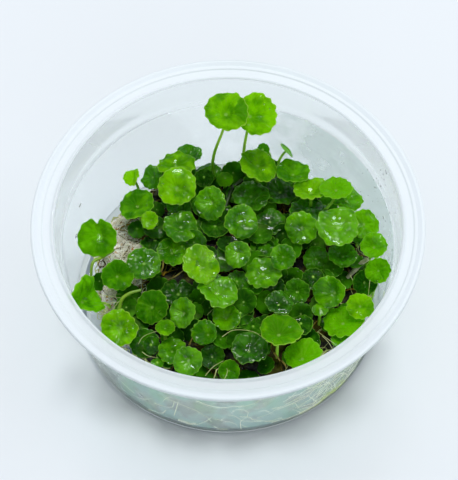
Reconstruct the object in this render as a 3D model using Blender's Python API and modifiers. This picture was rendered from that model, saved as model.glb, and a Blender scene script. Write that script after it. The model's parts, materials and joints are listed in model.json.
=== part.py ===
"""Whorled pennywort growing in a clear plastic culture tub.

The tub is one moulded piece. A wet root block stands on its floor, and creeping
stems and shield-shaped leaves on thin stalks grow from the top of the block.
Lengths are in millimetres until they are scaled by MM. The origin is on the
surface that the tub stands on, at the middle of its foot.
"""

import math

import bmesh
import bpy
from mathutils import Matrix, Vector
from mathutils.bvhtree import BVHTree

MM = 0.001
OBJECT_NAME = "whorled_pennywort"
GAP = 0.3  # left between pieces that touch

# The tub: a shallow food tub that takes a snap-on lid, the common 240 ml size
TUB_HEIGHT = 48.0
FLANGE_RADIUS = 58.5
MOUTH_RADIUS = 51.6
BASE_RADIUS = 48.7
WALL = 0.7
COLLAR_HEIGHT = 11.0  # the straight band above the stacking shoulder
SHOULDER_STEP = 1.3
FLOOR_TOP = 1.6
FOOT_WIDTH = 3.0
LIP_DROP = 0.6  # the mouth's edge lies this far below the rim's outer edge
LID_LAND_DROP = 1.0  # the lid sits on a ring this far below the rim's outer edge
TUB_STEPS = 40

# The root block: mineral wool and matted roots, off centre in the tub
BLOCK_TOP = 27.5
BLOCK_REACH = {"right": 43.5, "back": 33.0, "left": 40.5, "front": 44.5}
BLOCK_SQUARENESS = 0.38  # 1 is a ball, near 0 a sharp-edged drum
BLOCK_SEGMENTS = 30
BLOCK_RINGS = 12
BLOCK_LUMP = 1.3

# The leaves
LOBES = 8
NOTCH_DEPTH = 0.09  # share of the blade's radius
DISH_DEPTH = 0.10  # the middle of a blade lies lower than its edge
BLADE_THICKNESS = 0.45
STALK_RADIUS = 0.42
TALL_STALK_RADIUS = 0.5
STALK_SEGMENTS = 4
TALL_STALK_SEGMENTS = 8
STALK_REACH = 16  # furthest a stalk's foot stands from under its blade
STALK_START = 4.0  # the search for a foot begins this far behind the blade
STALK_TURNS = (0, 30, -30, 60, -60, 90, -90, 120, -120, 150, -150, 180)
STALK_CLEARANCE = 1.25  # from a stalk's middle line to other pieces
STALK_CHECKS = 24  # points along a stalk where its clearance is tested
BLADE_GAP = 1.5  # between the middle planes of two blades that overlap
EDGE_GAP = 0.5  # between the edges of two blades side by side
LIFT_STEP = 0.4
TURN_PER_LEAF = 0.7  # radians, so that the notches point all ways

# The photograph's view. Leaves are placed along its lines of sight, in pixels
# of a picture 458 wide and 480 high, where the rim's middle shows at RIM_PIXEL.
RIM_PIXEL = (228.0, 218.6)
FOCAL_PIXELS = 1519.0
EYE_DISTANCE = 450.0
EYE_ELEVATION = math.radians(59.3)
RIM_CENTRE = Vector((0.0, 0.0, TUB_HEIGHT))
SIGHT = Vector((0.0, math.cos(EYE_ELEVATION), -math.sin(EYE_ELEVATION)))
PICTURE_UP = Vector((0.0, math.sin(EYE_ELEVATION), math.cos(EYE_ELEVATION)))
PICTURE_RIGHT = Vector((1.0, 0.0, 0.0))
EYE = RIM_CENTRE - SIGHT * EYE_DISTANCE

# Each leaf as the photograph shows it: the pixel of its middle, the long and
# short half axes of its oval in pixels, the slant of the long axis in degrees,
# the height of its middle in millimetres, and its age. Where the stalk meets the
# blade away from its middle, the pixel of that heart follows. Lower leaves come
# first, and a leaf that would touch one before it is lifted along the line of sight.
LEAVES = [
    (316, 259, 13, 13, 0, 31.5, "shaded"),
    (178, 293, 17, 14, 0, 31.0, "shaded"),
    (343, 256, 14, 12, 0, 32.0, "shaded"),
    (297, 292, 13, 13, 0, 31.5, "shaded"),
    (212, 357, 12, 12, 0, 29.5, "shaded"),
    (270, 221, 15, 13, 0, 32.0, "shaded"),
    (280, 191, 17, 13, 0, 32.0, "shaded"),
    (172, 252, 16, 13, 0, 32.0, "mature"),
    (204, 332, 12.5, 12.5, 0, 31.5, "mature", (208, 335)),
    (151, 307, 17.5, 16, 75, 32.5, "mature"),
    (172, 351, 14, 12.5, 0, 31.5, "mature"),
    (226, 318, 14, 13, 0, 32.5, "mature"),
    (229, 371, 11, 11, 0, 31.0, "mature"),
    (279, 304, 14, 11.5, -25, 33.0, "shaded"),
    (251, 195, 18, 15, 0, 34.0, "shaded"),
    (343, 322, 20, 15, 0, 33.5, "mature"),
    (183, 313, 15, 13, 75, 34.0, "mature"),
    (249, 350, 18, 14.5, -10, 33.0, "shaded"),
    (303, 353, 18.5, 15.5, 15, 33.0, "mature", (302, 358)),
    (152, 177, 12, 9.5, 80, 34.5, "mature"),
    (190, 155, 12.5, 8.5, 0, 36.0, "shaded"),
    (137, 205, 18, 14, 25, 35.5, "mature"),
    (117, 276, 15.5, 15, 0, 34.0, "mature"),
    (144, 263, 17, 16.5, 0, 36.0, "mature"),
    (181, 226, 17, 15, 0, 36.0, "mature"),
    (211, 203, 16.5, 15.5, 90, 37.0, "mature"),
    (347, 200, 16, 12, -20, 36.0, "mature"),
    (365, 224, 15.5, 14, 110, 37.0, "mature"),
    (263, 273, 18, 15.5, 0, 35.0, "mature"),
    (283, 257, 13, 13, 0, 36.5, "mature"),
    (238, 254, 13.5, 13, 90, 36.0, "mature"),
    (330, 292, 16, 15, 90, 36.5, "mature", (334, 293)),
    (360, 306, 14, 13, 0, 37.5, "young"),
    (176, 164, 19, 13, 0, 38.0, "young"),
    (177, 187, 19.5, 19, 0, 41.0, "young"),
    (240, 222, 17, 15.5, 100, 39.0, "mature"),
    (301, 228, 17, 16, 90, 38.5, "mature"),
    (338, 226, 21, 19, 0, 40.0, "mature"),
    (374, 247, 13.5, 12, 0, 39.0, "mature"),
    (378, 271, 13, 12.5, 90, 39.0, "mature"),
    (217, 292, 20, 14, -25, 37.0, "mature"),
    (202, 264, 20, 17.5, -60, 40.0, "young", (202, 267)),
    (281, 331, 21.5, 14.5, -8, 39.0, "young", (279, 333)),
    (188, 361, 15, 14.5, 90, 35.0, "mature"),
    (120, 328, 18.5, 17.5, 90, 35.0, "young"),
    (97, 238, 19.5, 19, 90, 37.0, "mature", (98, 235)),
    (85, 296, 22, 11, -62, 37.0, "mature", (84, 301)),
    (311, 191, 17.5, 11, 0, 40.0, "young"),
    (336, 189, 16, 11, 0, 41.0, "mature"),
    (293, 173, 17, 11, 0, 39.0, "mature"),
    (259, 164, 20, 14.5, -30, 42.0, "young"),
    (151, 220, 9.5, 8.5, 90, 37.0, "young"),
    (165, 328, 9.5, 8, 0, 35.0, "young"),
    (133, 178, 10, 7.5, 35, 37.0, "young"),
]
# The two leaves that stand clear above the rest, then the pixel where each of
# their stalks rises and how far it bows to the left, in millimetres
TALL_LEAVES = [
    (227.5, 112, 20, 17.5, 0, 61.0, "young", (226, 113), (216, 180), 3.5),
    (257, 114, 19, 18.5, 0, 58.5, "young", (250, 116), (247, 177), 3.0),
]
# Creeping stems: the pixels and heights that each one runs through
CREEPING_STEMS = {
    "creeping_stem_back": [(224, 214, 29.2), (228, 200, 30.5), (233, 188, 30.5), (242, 180, 28.2)],
    "creeping_stem_right": [(347, 278, 27.8), (355, 270, 29.5), (362, 263, 31.5), (368, 259, 33.0)],
}
STEM_RADIUS = 0.75
STEM_POINTS = 9
STEM_CLEARANCE = STEM_RADIUS + 0.9

COLOURS = {
    "clear_polypropylene": ((0.86, 0.90, 0.92), 0.25),
    "root_block": ((0.16, 0.12, 0.06), 0.95),
    "young": ((0.20, 0.48, 0.02), 0.35),
    "mature": ((0.08, 0.30, 0.02), 0.35),
    "shaded": ((0.03, 0.16, 0.02), 0.4),
    "creeping_stem": ((0.16, 0.22, 0.05), 0.5),
}


def clear_scene():
    for obj in list(bpy.data.objects):
        bpy.data.objects.remove(obj, do_unlink=True)


def collection_named(name):
    made = bpy.data.collections.new(name)
    bpy.context.scene.collection.children.link(made)
    return made


def material_named(name):
    found = bpy.data.materials.get(name)
    if found:
        return found
    colour, roughness = COLOURS[name]
    made = bpy.data.materials.new(name)
    made.use_nodes = True
    surface = made.node_tree.nodes["Principled BSDF"]
    surface.inputs["Base Color"].default_value = (*colour, 1.0)
    surface.inputs["Roughness"].default_value = roughness
    surface.inputs["Metallic"].default_value = 0.0
    return made


def add_object(name, data, material, collection):
    made = bpy.data.objects.new(name, data)
    made.data.materials.append(material_named(material))
    collection.objects.link(made)
    return made


def evaluated_mesh(obj):
    """The object's mesh with its modifiers applied, its caps welded."""
    bpy.context.view_layer.update()
    graph = bpy.context.evaluated_depsgraph_get()
    mesh = bpy.data.meshes.new_from_object(obj.evaluated_get(graph))
    bm = bmesh.new()
    bm.from_mesh(mesh)
    bmesh.ops.remove_doubles(bm, verts=bm.verts, dist=0.00001)
    bm.to_mesh(mesh)
    bm.free()
    return mesh


def inner_wall(height):
    """The tub's inner radius at a height, at its narrowest."""
    shoulder = TUB_HEIGHT - COLLAR_HEIGHT
    if height >= shoulder:
        return MOUTH_RADIUS - 0.5
    foot = BASE_RADIUS - WALL
    top = MOUTH_RADIUS - SHOULDER_STEP
    return foot + (top - foot) * max(height, 0.0) / shoulder


def tub_profile():
    """Half section of the tub: up its inner side, over the rim, down its outer side."""
    shoulder = TUB_HEIGHT - COLLAR_HEIGHT
    under_shoulder = shoulder - 1.3
    waist = inner_wall(under_shoulder)
    lip = TUB_HEIGHT - LIP_DROP
    land = TUB_HEIGHT - LID_LAND_DROP
    underside = land - WALL
    inner_foot = BASE_RADIUS - FOOT_WIDTH
    return [
        (0.0, FLOOR_TOP),
        (inner_wall(0.0) - 1.8, FLOOR_TOP),
        (inner_wall(3.0), FLOOR_TOP + 1.5),
        (waist, under_shoulder),
        (MOUTH_RADIUS - 0.5, shoulder),
        (MOUTH_RADIUS, lip - 0.5),
        (MOUTH_RADIUS + 0.6, lip),
        (MOUTH_RADIUS + 1.3, land),
        (MOUTH_RADIUS + 3.4, land),
        (MOUTH_RADIUS + 3.8, lip),
        (FLANGE_RADIUS - 2.2, lip),
        (FLANGE_RADIUS - 1.0, TUB_HEIGHT),
        (FLANGE_RADIUS - 0.4, TUB_HEIGHT),
        (FLANGE_RADIUS, TUB_HEIGHT - 0.4),
        (FLANGE_RADIUS, land - 0.2),
        (FLANGE_RADIUS - 0.8, land - 0.2),
        (FLANGE_RADIUS - 1.3, land),
        (FLANGE_RADIUS - 2.3, land - 0.3),
        (MOUTH_RADIUS + 3.5, underside),
        (MOUTH_RADIUS + 1.0, underside),
        (MOUTH_RADIUS + WALL - 0.5, shoulder + 0.4),
        (waist + WALL, under_shoulder),
        (BASE_RADIUS, 1.6),
        (BASE_RADIUS - 1.2, 0.0),
        (inner_foot, 0.0),
        (inner_foot - 0.8, FLOOR_TOP - WALL),
        (0.0, FLOOR_TOP - WALL),
    ]


def make_tub(collection):
    """The tub is its half section turned about the upright axis."""
    bm = bmesh.new()
    points = [bm.verts.new((r * MM, 0.0, z * MM)) for r, z in tub_profile()]
    for first, second in zip(points, points[1:]):
        bm.edges.new((first, second))
    mesh = bpy.data.meshes.new("culture_tub")
    bm.to_mesh(mesh)
    bm.free()
    tub = add_object("culture_tub", mesh, "clear_polypropylene", collection)
    turned = tub.modifiers.new("turned", "SCREW")
    turned.steps = TUB_STEPS
    turned.render_steps = TUB_STEPS
    turned.use_merge_vertices = True
    turned.merge_threshold = 0.00001
    return tub


def block_reach(angle):
    """The root block's radius in the direction of an angle, smooth all round."""
    sides = (math.cos(angle), math.sin(angle))
    across = BLOCK_REACH["right"] if sides[0] > 0 else BLOCK_REACH["left"]
    along = BLOCK_REACH["back"] if sides[1] > 0 else BLOCK_REACH["front"]
    return across * along / math.hypot(along * sides[0], across * sides[1])


def block_lump(x, y):
    """Rise and fall of the block's top, a few overlapping swells."""
    swell = math.sin(0.21 * x + 1.0) * math.cos(0.17 * y)
    ripple = 0.6 * math.sin(0.45 * x - 0.38 * y + 2.0)
    return BLOCK_LUMP * (swell + ripple)


def make_root_block(collection):
    """A ball drawn out to a rounded drum, with a lumpy top."""
    bm = bmesh.new()
    bmesh.ops.create_uvsphere(bm, u_segments=BLOCK_SEGMENTS, v_segments=BLOCK_RINGS, radius=1.0)
    bottom = FLOOR_TOP + GAP
    half = (BLOCK_TOP - bottom) / 2
    for vert in bm.verts:
        spread = min(1.0, math.hypot(vert.co.x, vert.co.y))
        angle = math.atan2(vert.co.y, vert.co.x)
        width = spread**BLOCK_SQUARENESS if spread > 0.01 else 0.0
        level = math.copysign(abs(vert.co.z) ** BLOCK_SQUARENESS, vert.co.z)
        height = bottom + half * (1 + level)
        radius = min(block_reach(angle) * width, inner_wall(height) - 1.2)
        x, y = radius * math.cos(angle), radius * math.sin(angle)
        if level > 0:
            height += block_lump(x, y) * level
        vert.co = Vector((x, y, height)) * MM
    mesh = bpy.data.meshes.new("root_block")
    bm.to_mesh(mesh)
    surface = BVHTree.FromBMesh(bm)
    bm.free()
    add_object("root_block", mesh, "root_block", collection)
    return surface


def point_seen(pixel, height):
    """The point at a height that shows at a pixel of the photograph."""
    across = (pixel[0] - RIM_PIXEL[0]) / FOCAL_PIXELS
    down = (pixel[1] - RIM_PIXEL[1]) / FOCAL_PIXELS
    ray = SIGHT + PICTURE_RIGHT * across - PICTURE_UP * down
    return EYE + ray * ((height - EYE.z) / ray.z)


class Blade:
    """A leaf blade: its middle, its heart, the way that it faces, and its radius."""

    def __init__(self, column, row, long_half, short_half, slant, height, age, heart=None):
        self.pixel = (column, row)
        self.heart_pixel = heart or self.pixel
        self.oval = (long_half, short_half, math.radians(slant))
        self.age = age
        self.move_to(height)

    def move_to(self, height):
        """Slides the blade along its line of sight, keeping the oval that it shows."""
        long_half, short_half, slant = self.oval
        self.height = height
        self.middle = point_seen(self.pixel, height)
        to_eye = (EYE - self.middle).normalized()
        depth = (EYE - self.middle).dot(-SIGHT)
        self.radius = long_half * depth / FOCAL_PIXELS
        turn = math.acos(min(1.0, short_half / long_half))
        lean = PICTURE_UP * math.cos(slant) - PICTURE_RIGHT * math.sin(slant)
        if lean.z < 0:
            lean.negate()
        self.facing = (to_eye * math.cos(turn) + lean * math.sin(turn)).normalized()
        side = self.facing.cross(Vector((0.0, 1.0, 0.2))).normalized()
        self.axes = (side, self.facing.cross(side))
        sight = (point_seen(self.heart_pixel, height) - EYE).normalized()
        reach = (self.middle - EYE).dot(self.facing) / sight.dot(self.facing)
        self.heart = EYE + sight * reach

    def samples(self):
        """Points over the blade, from its middle to its edge."""
        yield self.middle
        for share, count in ((0.35, 6), (0.7, 12), (1.0, 20)):
            for step in range(count):
                angle = 2 * math.pi * step / count
                out = self.axes[0] * math.cos(angle) + self.axes[1] * math.sin(angle)
                yield self.middle + out * (self.radius * share)

    def holds(self, point, gap, margin):
        """True if the point is in the blade, made thicker by gap and wider by margin."""
        offset = point - self.middle
        off_plane = offset.dot(self.facing)
        across = (offset - self.facing * off_plane).length
        return abs(off_plane) < gap and across < self.radius + margin


def blades_touch(first, second):
    far_apart = first.radius + second.radius + BLADE_GAP
    if (first.middle - second.middle).length > far_apart:
        return False
    if any(first.holds(p, BLADE_GAP, EDGE_GAP) for p in second.samples()):
        return True
    return any(second.holds(p, BLADE_GAP, EDGE_GAP) for p in first.samples())


def smooth_route(points, count):
    """Evenly numbered points on one smooth curve through the points given."""
    ends = [points[0] * 2 - points[1], *points, points[-1] * 2 - points[-2]]
    spans = len(points) - 1
    route = []
    for step in range(count):
        place = step * spans / (count - 1)
        span = min(int(place), spans - 1)
        t = place - span
        a, b, c, d = ends[span : span + 4]
        route.append(
            (b * 2 + (c - a) * t + (a * 2 - b * 5 + c * 4 - d) * t * t + (b * 3 - a - c * 3 + d) * t**3)
            * 0.5
        )
    return route


def stalk_route(foot, blade, count, bow=0.0):
    """A stalk rises from its foot, bows to the left and meets its blade square on."""
    length = (blade.heart - foot).length
    rise = foot + Vector((-bow, 0.0, 0.45 * length))
    arrive = blade.heart - blade.facing * (0.4 * length)
    route = []
    for step in range(count + 1):
        t = step / count
        s = 1 - t
        route.append(foot * s**3 + rise * (3 * s * s * t) + arrive * (3 * s * t * t) + blade.heart * t**3)
    return route


def ground_under(surface, x, y):
    """The height of the root block at a place, or None beside the block."""
    hit = surface.ray_cast(Vector((x, y, TUB_HEIGHT)) * MM, Vector((0.0, 0.0, -1.0)))
    return None if hit[0] is None else hit[0].z / MM


def stalk_is_clear(route, blade, blades, others, surface):
    for index, point in enumerate(route):
        if math.hypot(point.x, point.y) > inner_wall(point.z) - STALK_CLEARANCE:
            return False
        ground = ground_under(surface, point.x, point.y)
        if ground is not None and point.z < ground + 0.5 * GAP:
            return False
        if any(b is not blade and b.holds(point, STALK_CLEARANCE, EDGE_GAP) for b in blades):
            return False
        if index > 0 and any((point - p).length < STALK_CLEARANCE for other in others for p in other):
            return False
    return True


def find_stalk(blade, blades, others, surface):
    """The nearest foot on the root block whose stalk clears every other piece."""
    towards_middle = math.atan2(-blade.heart.y, -blade.heart.x)
    below = blade.heart - blade.facing * STALK_START
    sides = (-STALK_RADIUS, STALK_RADIUS)
    for reach in range(STALK_REACH + 1):
        for turn in STALK_TURNS:
            angle = towards_middle + math.radians(turn)
            x = below.x + reach * math.cos(angle)
            y = below.y + reach * math.sin(angle)
            heights = [ground_under(surface, x + dx, y + dy) for dx in sides for dy in sides]
            if None in heights:
                continue
            foot = Vector((x, y, max(heights) + GAP))
            route = stalk_route(foot, blade, STALK_CHECKS)
            if stalk_is_clear(route, blade, blades, others, surface):
                return foot
    raise ValueError(f"no clear stalk for the leaf at {blade.pixel}")


def tube(name, points, radius):
    """A closed tube along points, as a mesh object that isn't in a collection."""
    curve = bpy.data.curves.new(name, "CURVE")
    curve.dimensions = "3D"
    curve.bevel_depth = radius * MM
    curve.bevel_resolution = 0
    curve.use_fill_caps = True
    spline = curve.splines.new("POLY")
    spline.points.add(len(points) - 1)
    for knot, point in zip(spline.points, points):
        knot.co = (*(point * MM), 1.0)
    obj = bpy.data.objects.new(name, curve)
    bpy.context.scene.collection.objects.link(obj)
    mesh = evaluated_mesh(obj)
    bpy.data.objects.remove(obj)
    return mesh


def dish_bottom(blade):
    return blade.heart - blade.facing * (DISH_DEPTH * 0.5 * blade.radius)


def blade_mesh(blade, turn):
    """A scalloped disc with a dished middle, given its thickness by Solidify."""
    bm = bmesh.new()
    bmesh.ops.create_circle(bm, cap_ends=True, cap_tris=True, segments=2 * LOBES, radius=1.0)
    edge = [v for v in bm.verts if v.co.length > 0.5]
    edge.sort(key=lambda v: math.atan2(v.co.y, v.co.x))
    for index, vert in enumerate(edge):
        vert.co *= 1.0 if index % 2 else 1.0 - NOTCH_DEPTH
        vert.co.z = DISH_DEPTH * 0.5
    frame = Matrix((*blade.axes, blade.facing)).transposed()
    for vert in bm.verts:
        spun = Matrix.Rotation(turn, 3, "Z") @ vert.co
        middle = blade.middle if vert in edge else dish_bottom(blade)
        vert.co = (middle + frame @ spun * blade.radius) * MM
    bmesh.ops.recalc_face_normals(bm, faces=bm.faces)
    mesh = bpy.data.meshes.new("blade")
    bm.to_mesh(mesh)
    bm.free()
    return mesh


def make_leaf(name, blade, route, stalk_radius, turn, collection):
    """One leaf: its blade and its stalk, joined in one solid."""
    leaf = add_object(name, blade_mesh(blade, turn), blade.age, collection)
    thick = leaf.modifiers.new("thickness", "SOLIDIFY")
    thick.thickness = BLADE_THICKNESS * MM
    thick.offset = 0.0
    stalk = bpy.data.objects.new(name + "_stalk", tube(name + "_stalk", route, stalk_radius))
    bpy.context.scene.collection.objects.link(stalk)
    joined = leaf.modifiers.new("stalk", "BOOLEAN")
    joined.operation = "UNION"
    joined.solver = "EXACT"
    joined.object = stalk
    mesh = evaluated_mesh(leaf)
    leaf.modifiers.clear()
    leaf.data = mesh
    bpy.data.objects.remove(stalk)
    return leaf


def place_blades(stem_routes):
    """Lifts each leaf along its line of sight until it clears those before it."""
    placed = [Blade(*row[:8]) for row in TALL_LEAVES]
    stem_points = [point for route in stem_routes for point in route]
    for row in LEAVES:
        blade = Blade(*row)
        while any(blades_touch(blade, other) for other in placed) or any(
            blade.holds(point, STEM_CLEARANCE, STEM_RADIUS) for point in stem_points
        ):
            blade.move_to(blade.height + LIFT_STEP)
        placed.append(blade)
    return placed


def make_plant(surface, collection):
    stem_routes = []
    for name, knots in CREEPING_STEMS.items():
        route = smooth_route([point_seen(k[:2], k[2]) for k in knots], STEM_POINTS)
        stem_routes.append(route)
        add_object(name, tube(name, route, STEM_RADIUS), "creeping_stem", collection)
    blades = place_blades(stem_routes)
    others = [smooth_route(route, 3 * STEM_POINTS) for route in stem_routes]
    for index, blade in enumerate(blades):
        if index < len(TALL_LEAVES):
            pixel, bow = TALL_LEAVES[index][8:]
            at = point_seen(pixel, BLOCK_TOP)
            foot = Vector((at.x, at.y, ground_under(surface, at.x, at.y) + 2 * GAP))
            segments, radius = TALL_STALK_SEGMENTS, TALL_STALK_RADIUS
        else:
            foot, bow = find_stalk(blade, blades, others, surface), 0.0
            segments, radius = STALK_SEGMENTS, STALK_RADIUS
        others.append(stalk_route(foot, blade, STALK_CHECKS, bow)[:-3])
        route = stalk_route(foot, blade, segments, bow)
        route[-1] = dish_bottom(blade)
        make_leaf(f"leaf_{index + 1:02d}", blade, route, radius, TURN_PER_LEAF * index, collection)


def main():
    clear_scene()
    parts = collection_named(OBJECT_NAME)
    make_tub(parts)
    surface = make_root_block(parts)
    make_plant(surface, parts)


main()
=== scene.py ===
# %% [markdown]
# # Whorled pennywort in a clear culture tub
#
# Pennywort is a creeping water plant. Every leaf is a round shield on one thin
# stalk, and a whole clump fits in a plastic tub of the size that salad is sold
# in. This lesson dresses a plain model of such a clump: the tub is turned
# again with fine mouldings, each plain leaf gets a scalloped, veined and wet
# blade, and the roots, small leaves and drops that the plain model leaves out
# are added.
#
# The plain model is loaded first. It is the frame: nothing in it is moved, and
# every new piece is placed by it. Its box is kept, because the finished plant
# has to stay the same size.

import json
import math
import random

import bmesh
import bpy
from mathutils import Matrix, Vector
from mathutils.bvhtree import BVHTree


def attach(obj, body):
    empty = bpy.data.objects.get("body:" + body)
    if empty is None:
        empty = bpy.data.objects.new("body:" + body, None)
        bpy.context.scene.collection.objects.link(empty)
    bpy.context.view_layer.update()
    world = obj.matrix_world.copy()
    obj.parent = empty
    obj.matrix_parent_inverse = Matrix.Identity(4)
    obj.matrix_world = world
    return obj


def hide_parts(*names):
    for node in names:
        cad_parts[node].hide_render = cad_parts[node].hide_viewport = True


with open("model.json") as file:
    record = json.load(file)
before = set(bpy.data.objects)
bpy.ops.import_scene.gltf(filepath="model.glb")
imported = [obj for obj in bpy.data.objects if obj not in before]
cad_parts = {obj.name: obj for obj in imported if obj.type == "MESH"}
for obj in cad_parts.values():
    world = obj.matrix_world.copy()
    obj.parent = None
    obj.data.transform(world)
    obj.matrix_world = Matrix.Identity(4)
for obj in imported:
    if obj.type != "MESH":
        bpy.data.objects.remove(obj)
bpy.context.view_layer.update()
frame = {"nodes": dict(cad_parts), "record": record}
bpy.ops.object.select_all(action="DESELECT")

# %% [markdown]
# ## The camera
#
# The picture was taken from in front and above, about sixty degrees up, with a
# long lens. The four ellipses of the tub give the lens and the distance: with
# the rim 117 mm across, one camera draws all of them where they show. A long
# lens on a small thing is typical of product pictures, because it keeps the
# rim's ellipse from looking egg-shaped.
#
# The same numbers turn a pixel of the picture back into a place in space. That
# is how the small leaves are put where they are seen.

# %% Set up the camera
MM = 0.001
PICTURE = (458, 480)
FOCAL_PIXELS = 1519.0
RIM_PIXEL = (228.0, 218.6)
RIM_CENTRE = Vector((0.0, 0.0, 48.0)) * MM
EYE_DISTANCE = 450 * MM
EYE_ELEVATION = math.radians(59.3)

sight = Vector((0.0, math.cos(EYE_ELEVATION), -math.sin(EYE_ELEVATION)))
picture_up = Vector((0.0, math.sin(EYE_ELEVATION), math.cos(EYE_ELEVATION)))
picture_right = Vector((1.0, 0.0, 0.0))
eye = RIM_CENTRE - sight * EYE_DISTANCE


def line_of_sight(pixel):
    across = (pixel[0] - RIM_PIXEL[0]) / FOCAL_PIXELS
    down = (pixel[1] - RIM_PIXEL[1]) / FOCAL_PIXELS
    return (sight + picture_right * across - picture_up * down).normalized()


def point_seen(pixel, height):
    """The point at a height, in metres, that shows at a pixel."""
    ray = line_of_sight(pixel)
    return eye + ray * ((height - eye.z) / ray.z)


lens = bpy.data.cameras.new("camera")
lens.sensor_width = 36.0
lens.lens = FOCAL_PIXELS / max(PICTURE) * lens.sensor_width
camera = bpy.data.objects.new("camera", lens)
bpy.context.scene.collection.objects.link(camera)
middle_ray = line_of_sight((PICTURE[0] / 2, PICTURE[1] / 2))
camera.location = eye
camera.rotation_euler = middle_ray.to_track_quat("-Z", "Y").to_euler()
bpy.context.scene.camera = camera
print("lens", round(lens.lens, 1), "mm, eye at", [round(v, 3) for v in eye])

# %% [markdown]
# ## Floor and light
#
# The tub stands on a plain pale surface under soft studio light. Most of the
# light comes from all round, which a bright world gives, and it suits a clear
# tub: light from everywhere finds its way through plastic without noise. A big
# lamp above gives the wet leaves their white reflections. A second one behind
# shines through the leaves and throws the soft shadow forwards. Two low lamps,
# in front and at the right, light the upright walls, which the big lamp only
# grazes.

# %% Lay the floor and hang the lights
def linear(hex_colour):
    """An sRGB hex colour as the linear numbers that a shader wants."""
    parts = [int(hex_colour[i : i + 2], 16) / 255 for i in (1, 3, 5)]
    return [p / 12.92 if p <= 0.04045 else ((p + 0.055) / 1.055) ** 2.4 for p in parts] + [1.0]


def add(tree, kind, inputs=None, **settings):
    """Adds one node. Each input is a value, or a socket to link to."""
    node = tree.nodes.new(kind)
    for name, value in settings.items():
        setattr(node, name, value)
    for name, value in (inputs or {}).items():
        if isinstance(value, bpy.types.NodeSocket):
            tree.links.new(value, node.inputs[name])
        else:
            node.inputs[name].default_value = value
    return node


def new_material(name):
    """An empty material and its node tree."""
    material = bpy.data.materials.new(name)
    material.use_nodes = True
    material.node_tree.nodes.clear()
    return material, material.node_tree


backdrop_paint, tree = new_material("matt_white_card")
grain = add(tree, "ShaderNodeTexNoise", {"Scale": 3.0, "Detail": 2.0})
tint = add(tree, "ShaderNodeMix", {"Factor": grain.outputs["Fac"]}, data_type="RGBA")
tint.inputs["A"].default_value = linear("#e4e8ec")
tint.inputs["B"].default_value = linear("#dfe4e9")
card = add(tree, "ShaderNodeBsdfPrincipled", {"Base Color": tint.outputs["Result"], "Roughness": 0.6})
card.inputs["Specular IOR Level"].default_value = 0.2
add(tree, "ShaderNodeOutputMaterial", {"Surface": card.outputs[0]})

bpy.ops.mesh.primitive_plane_add(size=4.0, location=(0, 0, 0))
floor = bpy.context.object
floor.name = "floor"
floor.data.materials.append(backdrop_paint)

world = bpy.data.worlds.new("studio")
bpy.context.scene.world = world
world.use_nodes = True
world.node_tree.nodes["Background"].inputs["Color"].default_value = linear("#eef5fb")
world.node_tree.nodes["Background"].inputs["Strength"].default_value = 0.45


def hang_lamp(name, place, power, size, colour):
    lamp = bpy.data.lights.new(name, "AREA")
    lamp.shape = "RECTANGLE"
    lamp.size, lamp.size_y = size
    lamp.energy = power
    lamp.color = linear(colour)[:3]
    hung = bpy.data.objects.new(name, lamp)
    bpy.context.scene.collection.objects.link(hung)
    hung.location = place
    hung.rotation_euler = (RIM_CENTRE - Vector(place)).to_track_quat("-Z", "Y").to_euler()
    return hung


top_lamp = hang_lamp("top_softbox", (0.1, 0.5, 2.0), 25.0, (0.85, 0.65), "#ffffff")
hang_lamp("back_softbox", (-0.2, 1.5, 1.4), 5.3, (0.6, 0.5), "#f4f8ff")
hang_lamp("front_fill", (0.3, -1.9, 0.5), 6.8, (1.0, 0.6), "#f8fcff")
hang_lamp("right_fill", (1.7, 0.0, 0.6), 4.5, (0.8, 0.6), "#fafcff")
bpy.context.scene.view_settings.view_transform = "Standard"

# %% [markdown]
# ## Tools for modelling by hand
#
# Most pieces below are shaped in edit mode, as a person would: pick some
# points, then extrude, scale or pull them. In a script there is no mouse, so
# points are picked by a rule on their place. Everything else is deselected
# first, because an operator acts on all that is selected.

# %% Small helpers for edit mode
def focus(obj):
    """Selects one object alone and makes it active."""
    bpy.ops.object.select_all(action="DESELECT")
    obj.select_set(True)
    bpy.context.view_layer.objects.active = obj


def pick(rule):
    """In edit mode, selects the points whose place fits the rule."""
    bm = bmesh.from_edit_mesh(bpy.context.edit_object.data)
    bm.select_mode = {"VERT"}
    found = 0
    for vert in bm.verts:
        vert.select_set(bool(rule(vert.co)))
        found += vert.select
    bm.select_flush_mode()
    bmesh.update_edit_mesh(bpy.context.edit_object.data)
    return found


def apply_modifier(obj, kind, **settings):
    focus(obj)
    modifier = obj.modifiers.new(kind.lower(), kind)
    for name, value in settings.items():
        setattr(modifier, name, value)
    bpy.ops.object.modifier_apply(modifier=modifier.name)


def copy_of(obj, name):
    """A copy with its own mesh."""
    twin = bpy.data.objects.new(name, obj.data.copy())
    twin.data.name = name
    bpy.context.scene.collection.objects.link(twin)
    return twin


def join(objects, name):
    """Joins objects into one that sits at the origin."""
    bpy.ops.object.select_all(action="DESELECT")
    for obj in objects:
        obj.select_set(True)
    bpy.context.view_layer.objects.active = objects[0]
    bpy.ops.object.join()
    whole = bpy.context.object
    whole.name = whole.data.name = name
    return whole


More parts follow.
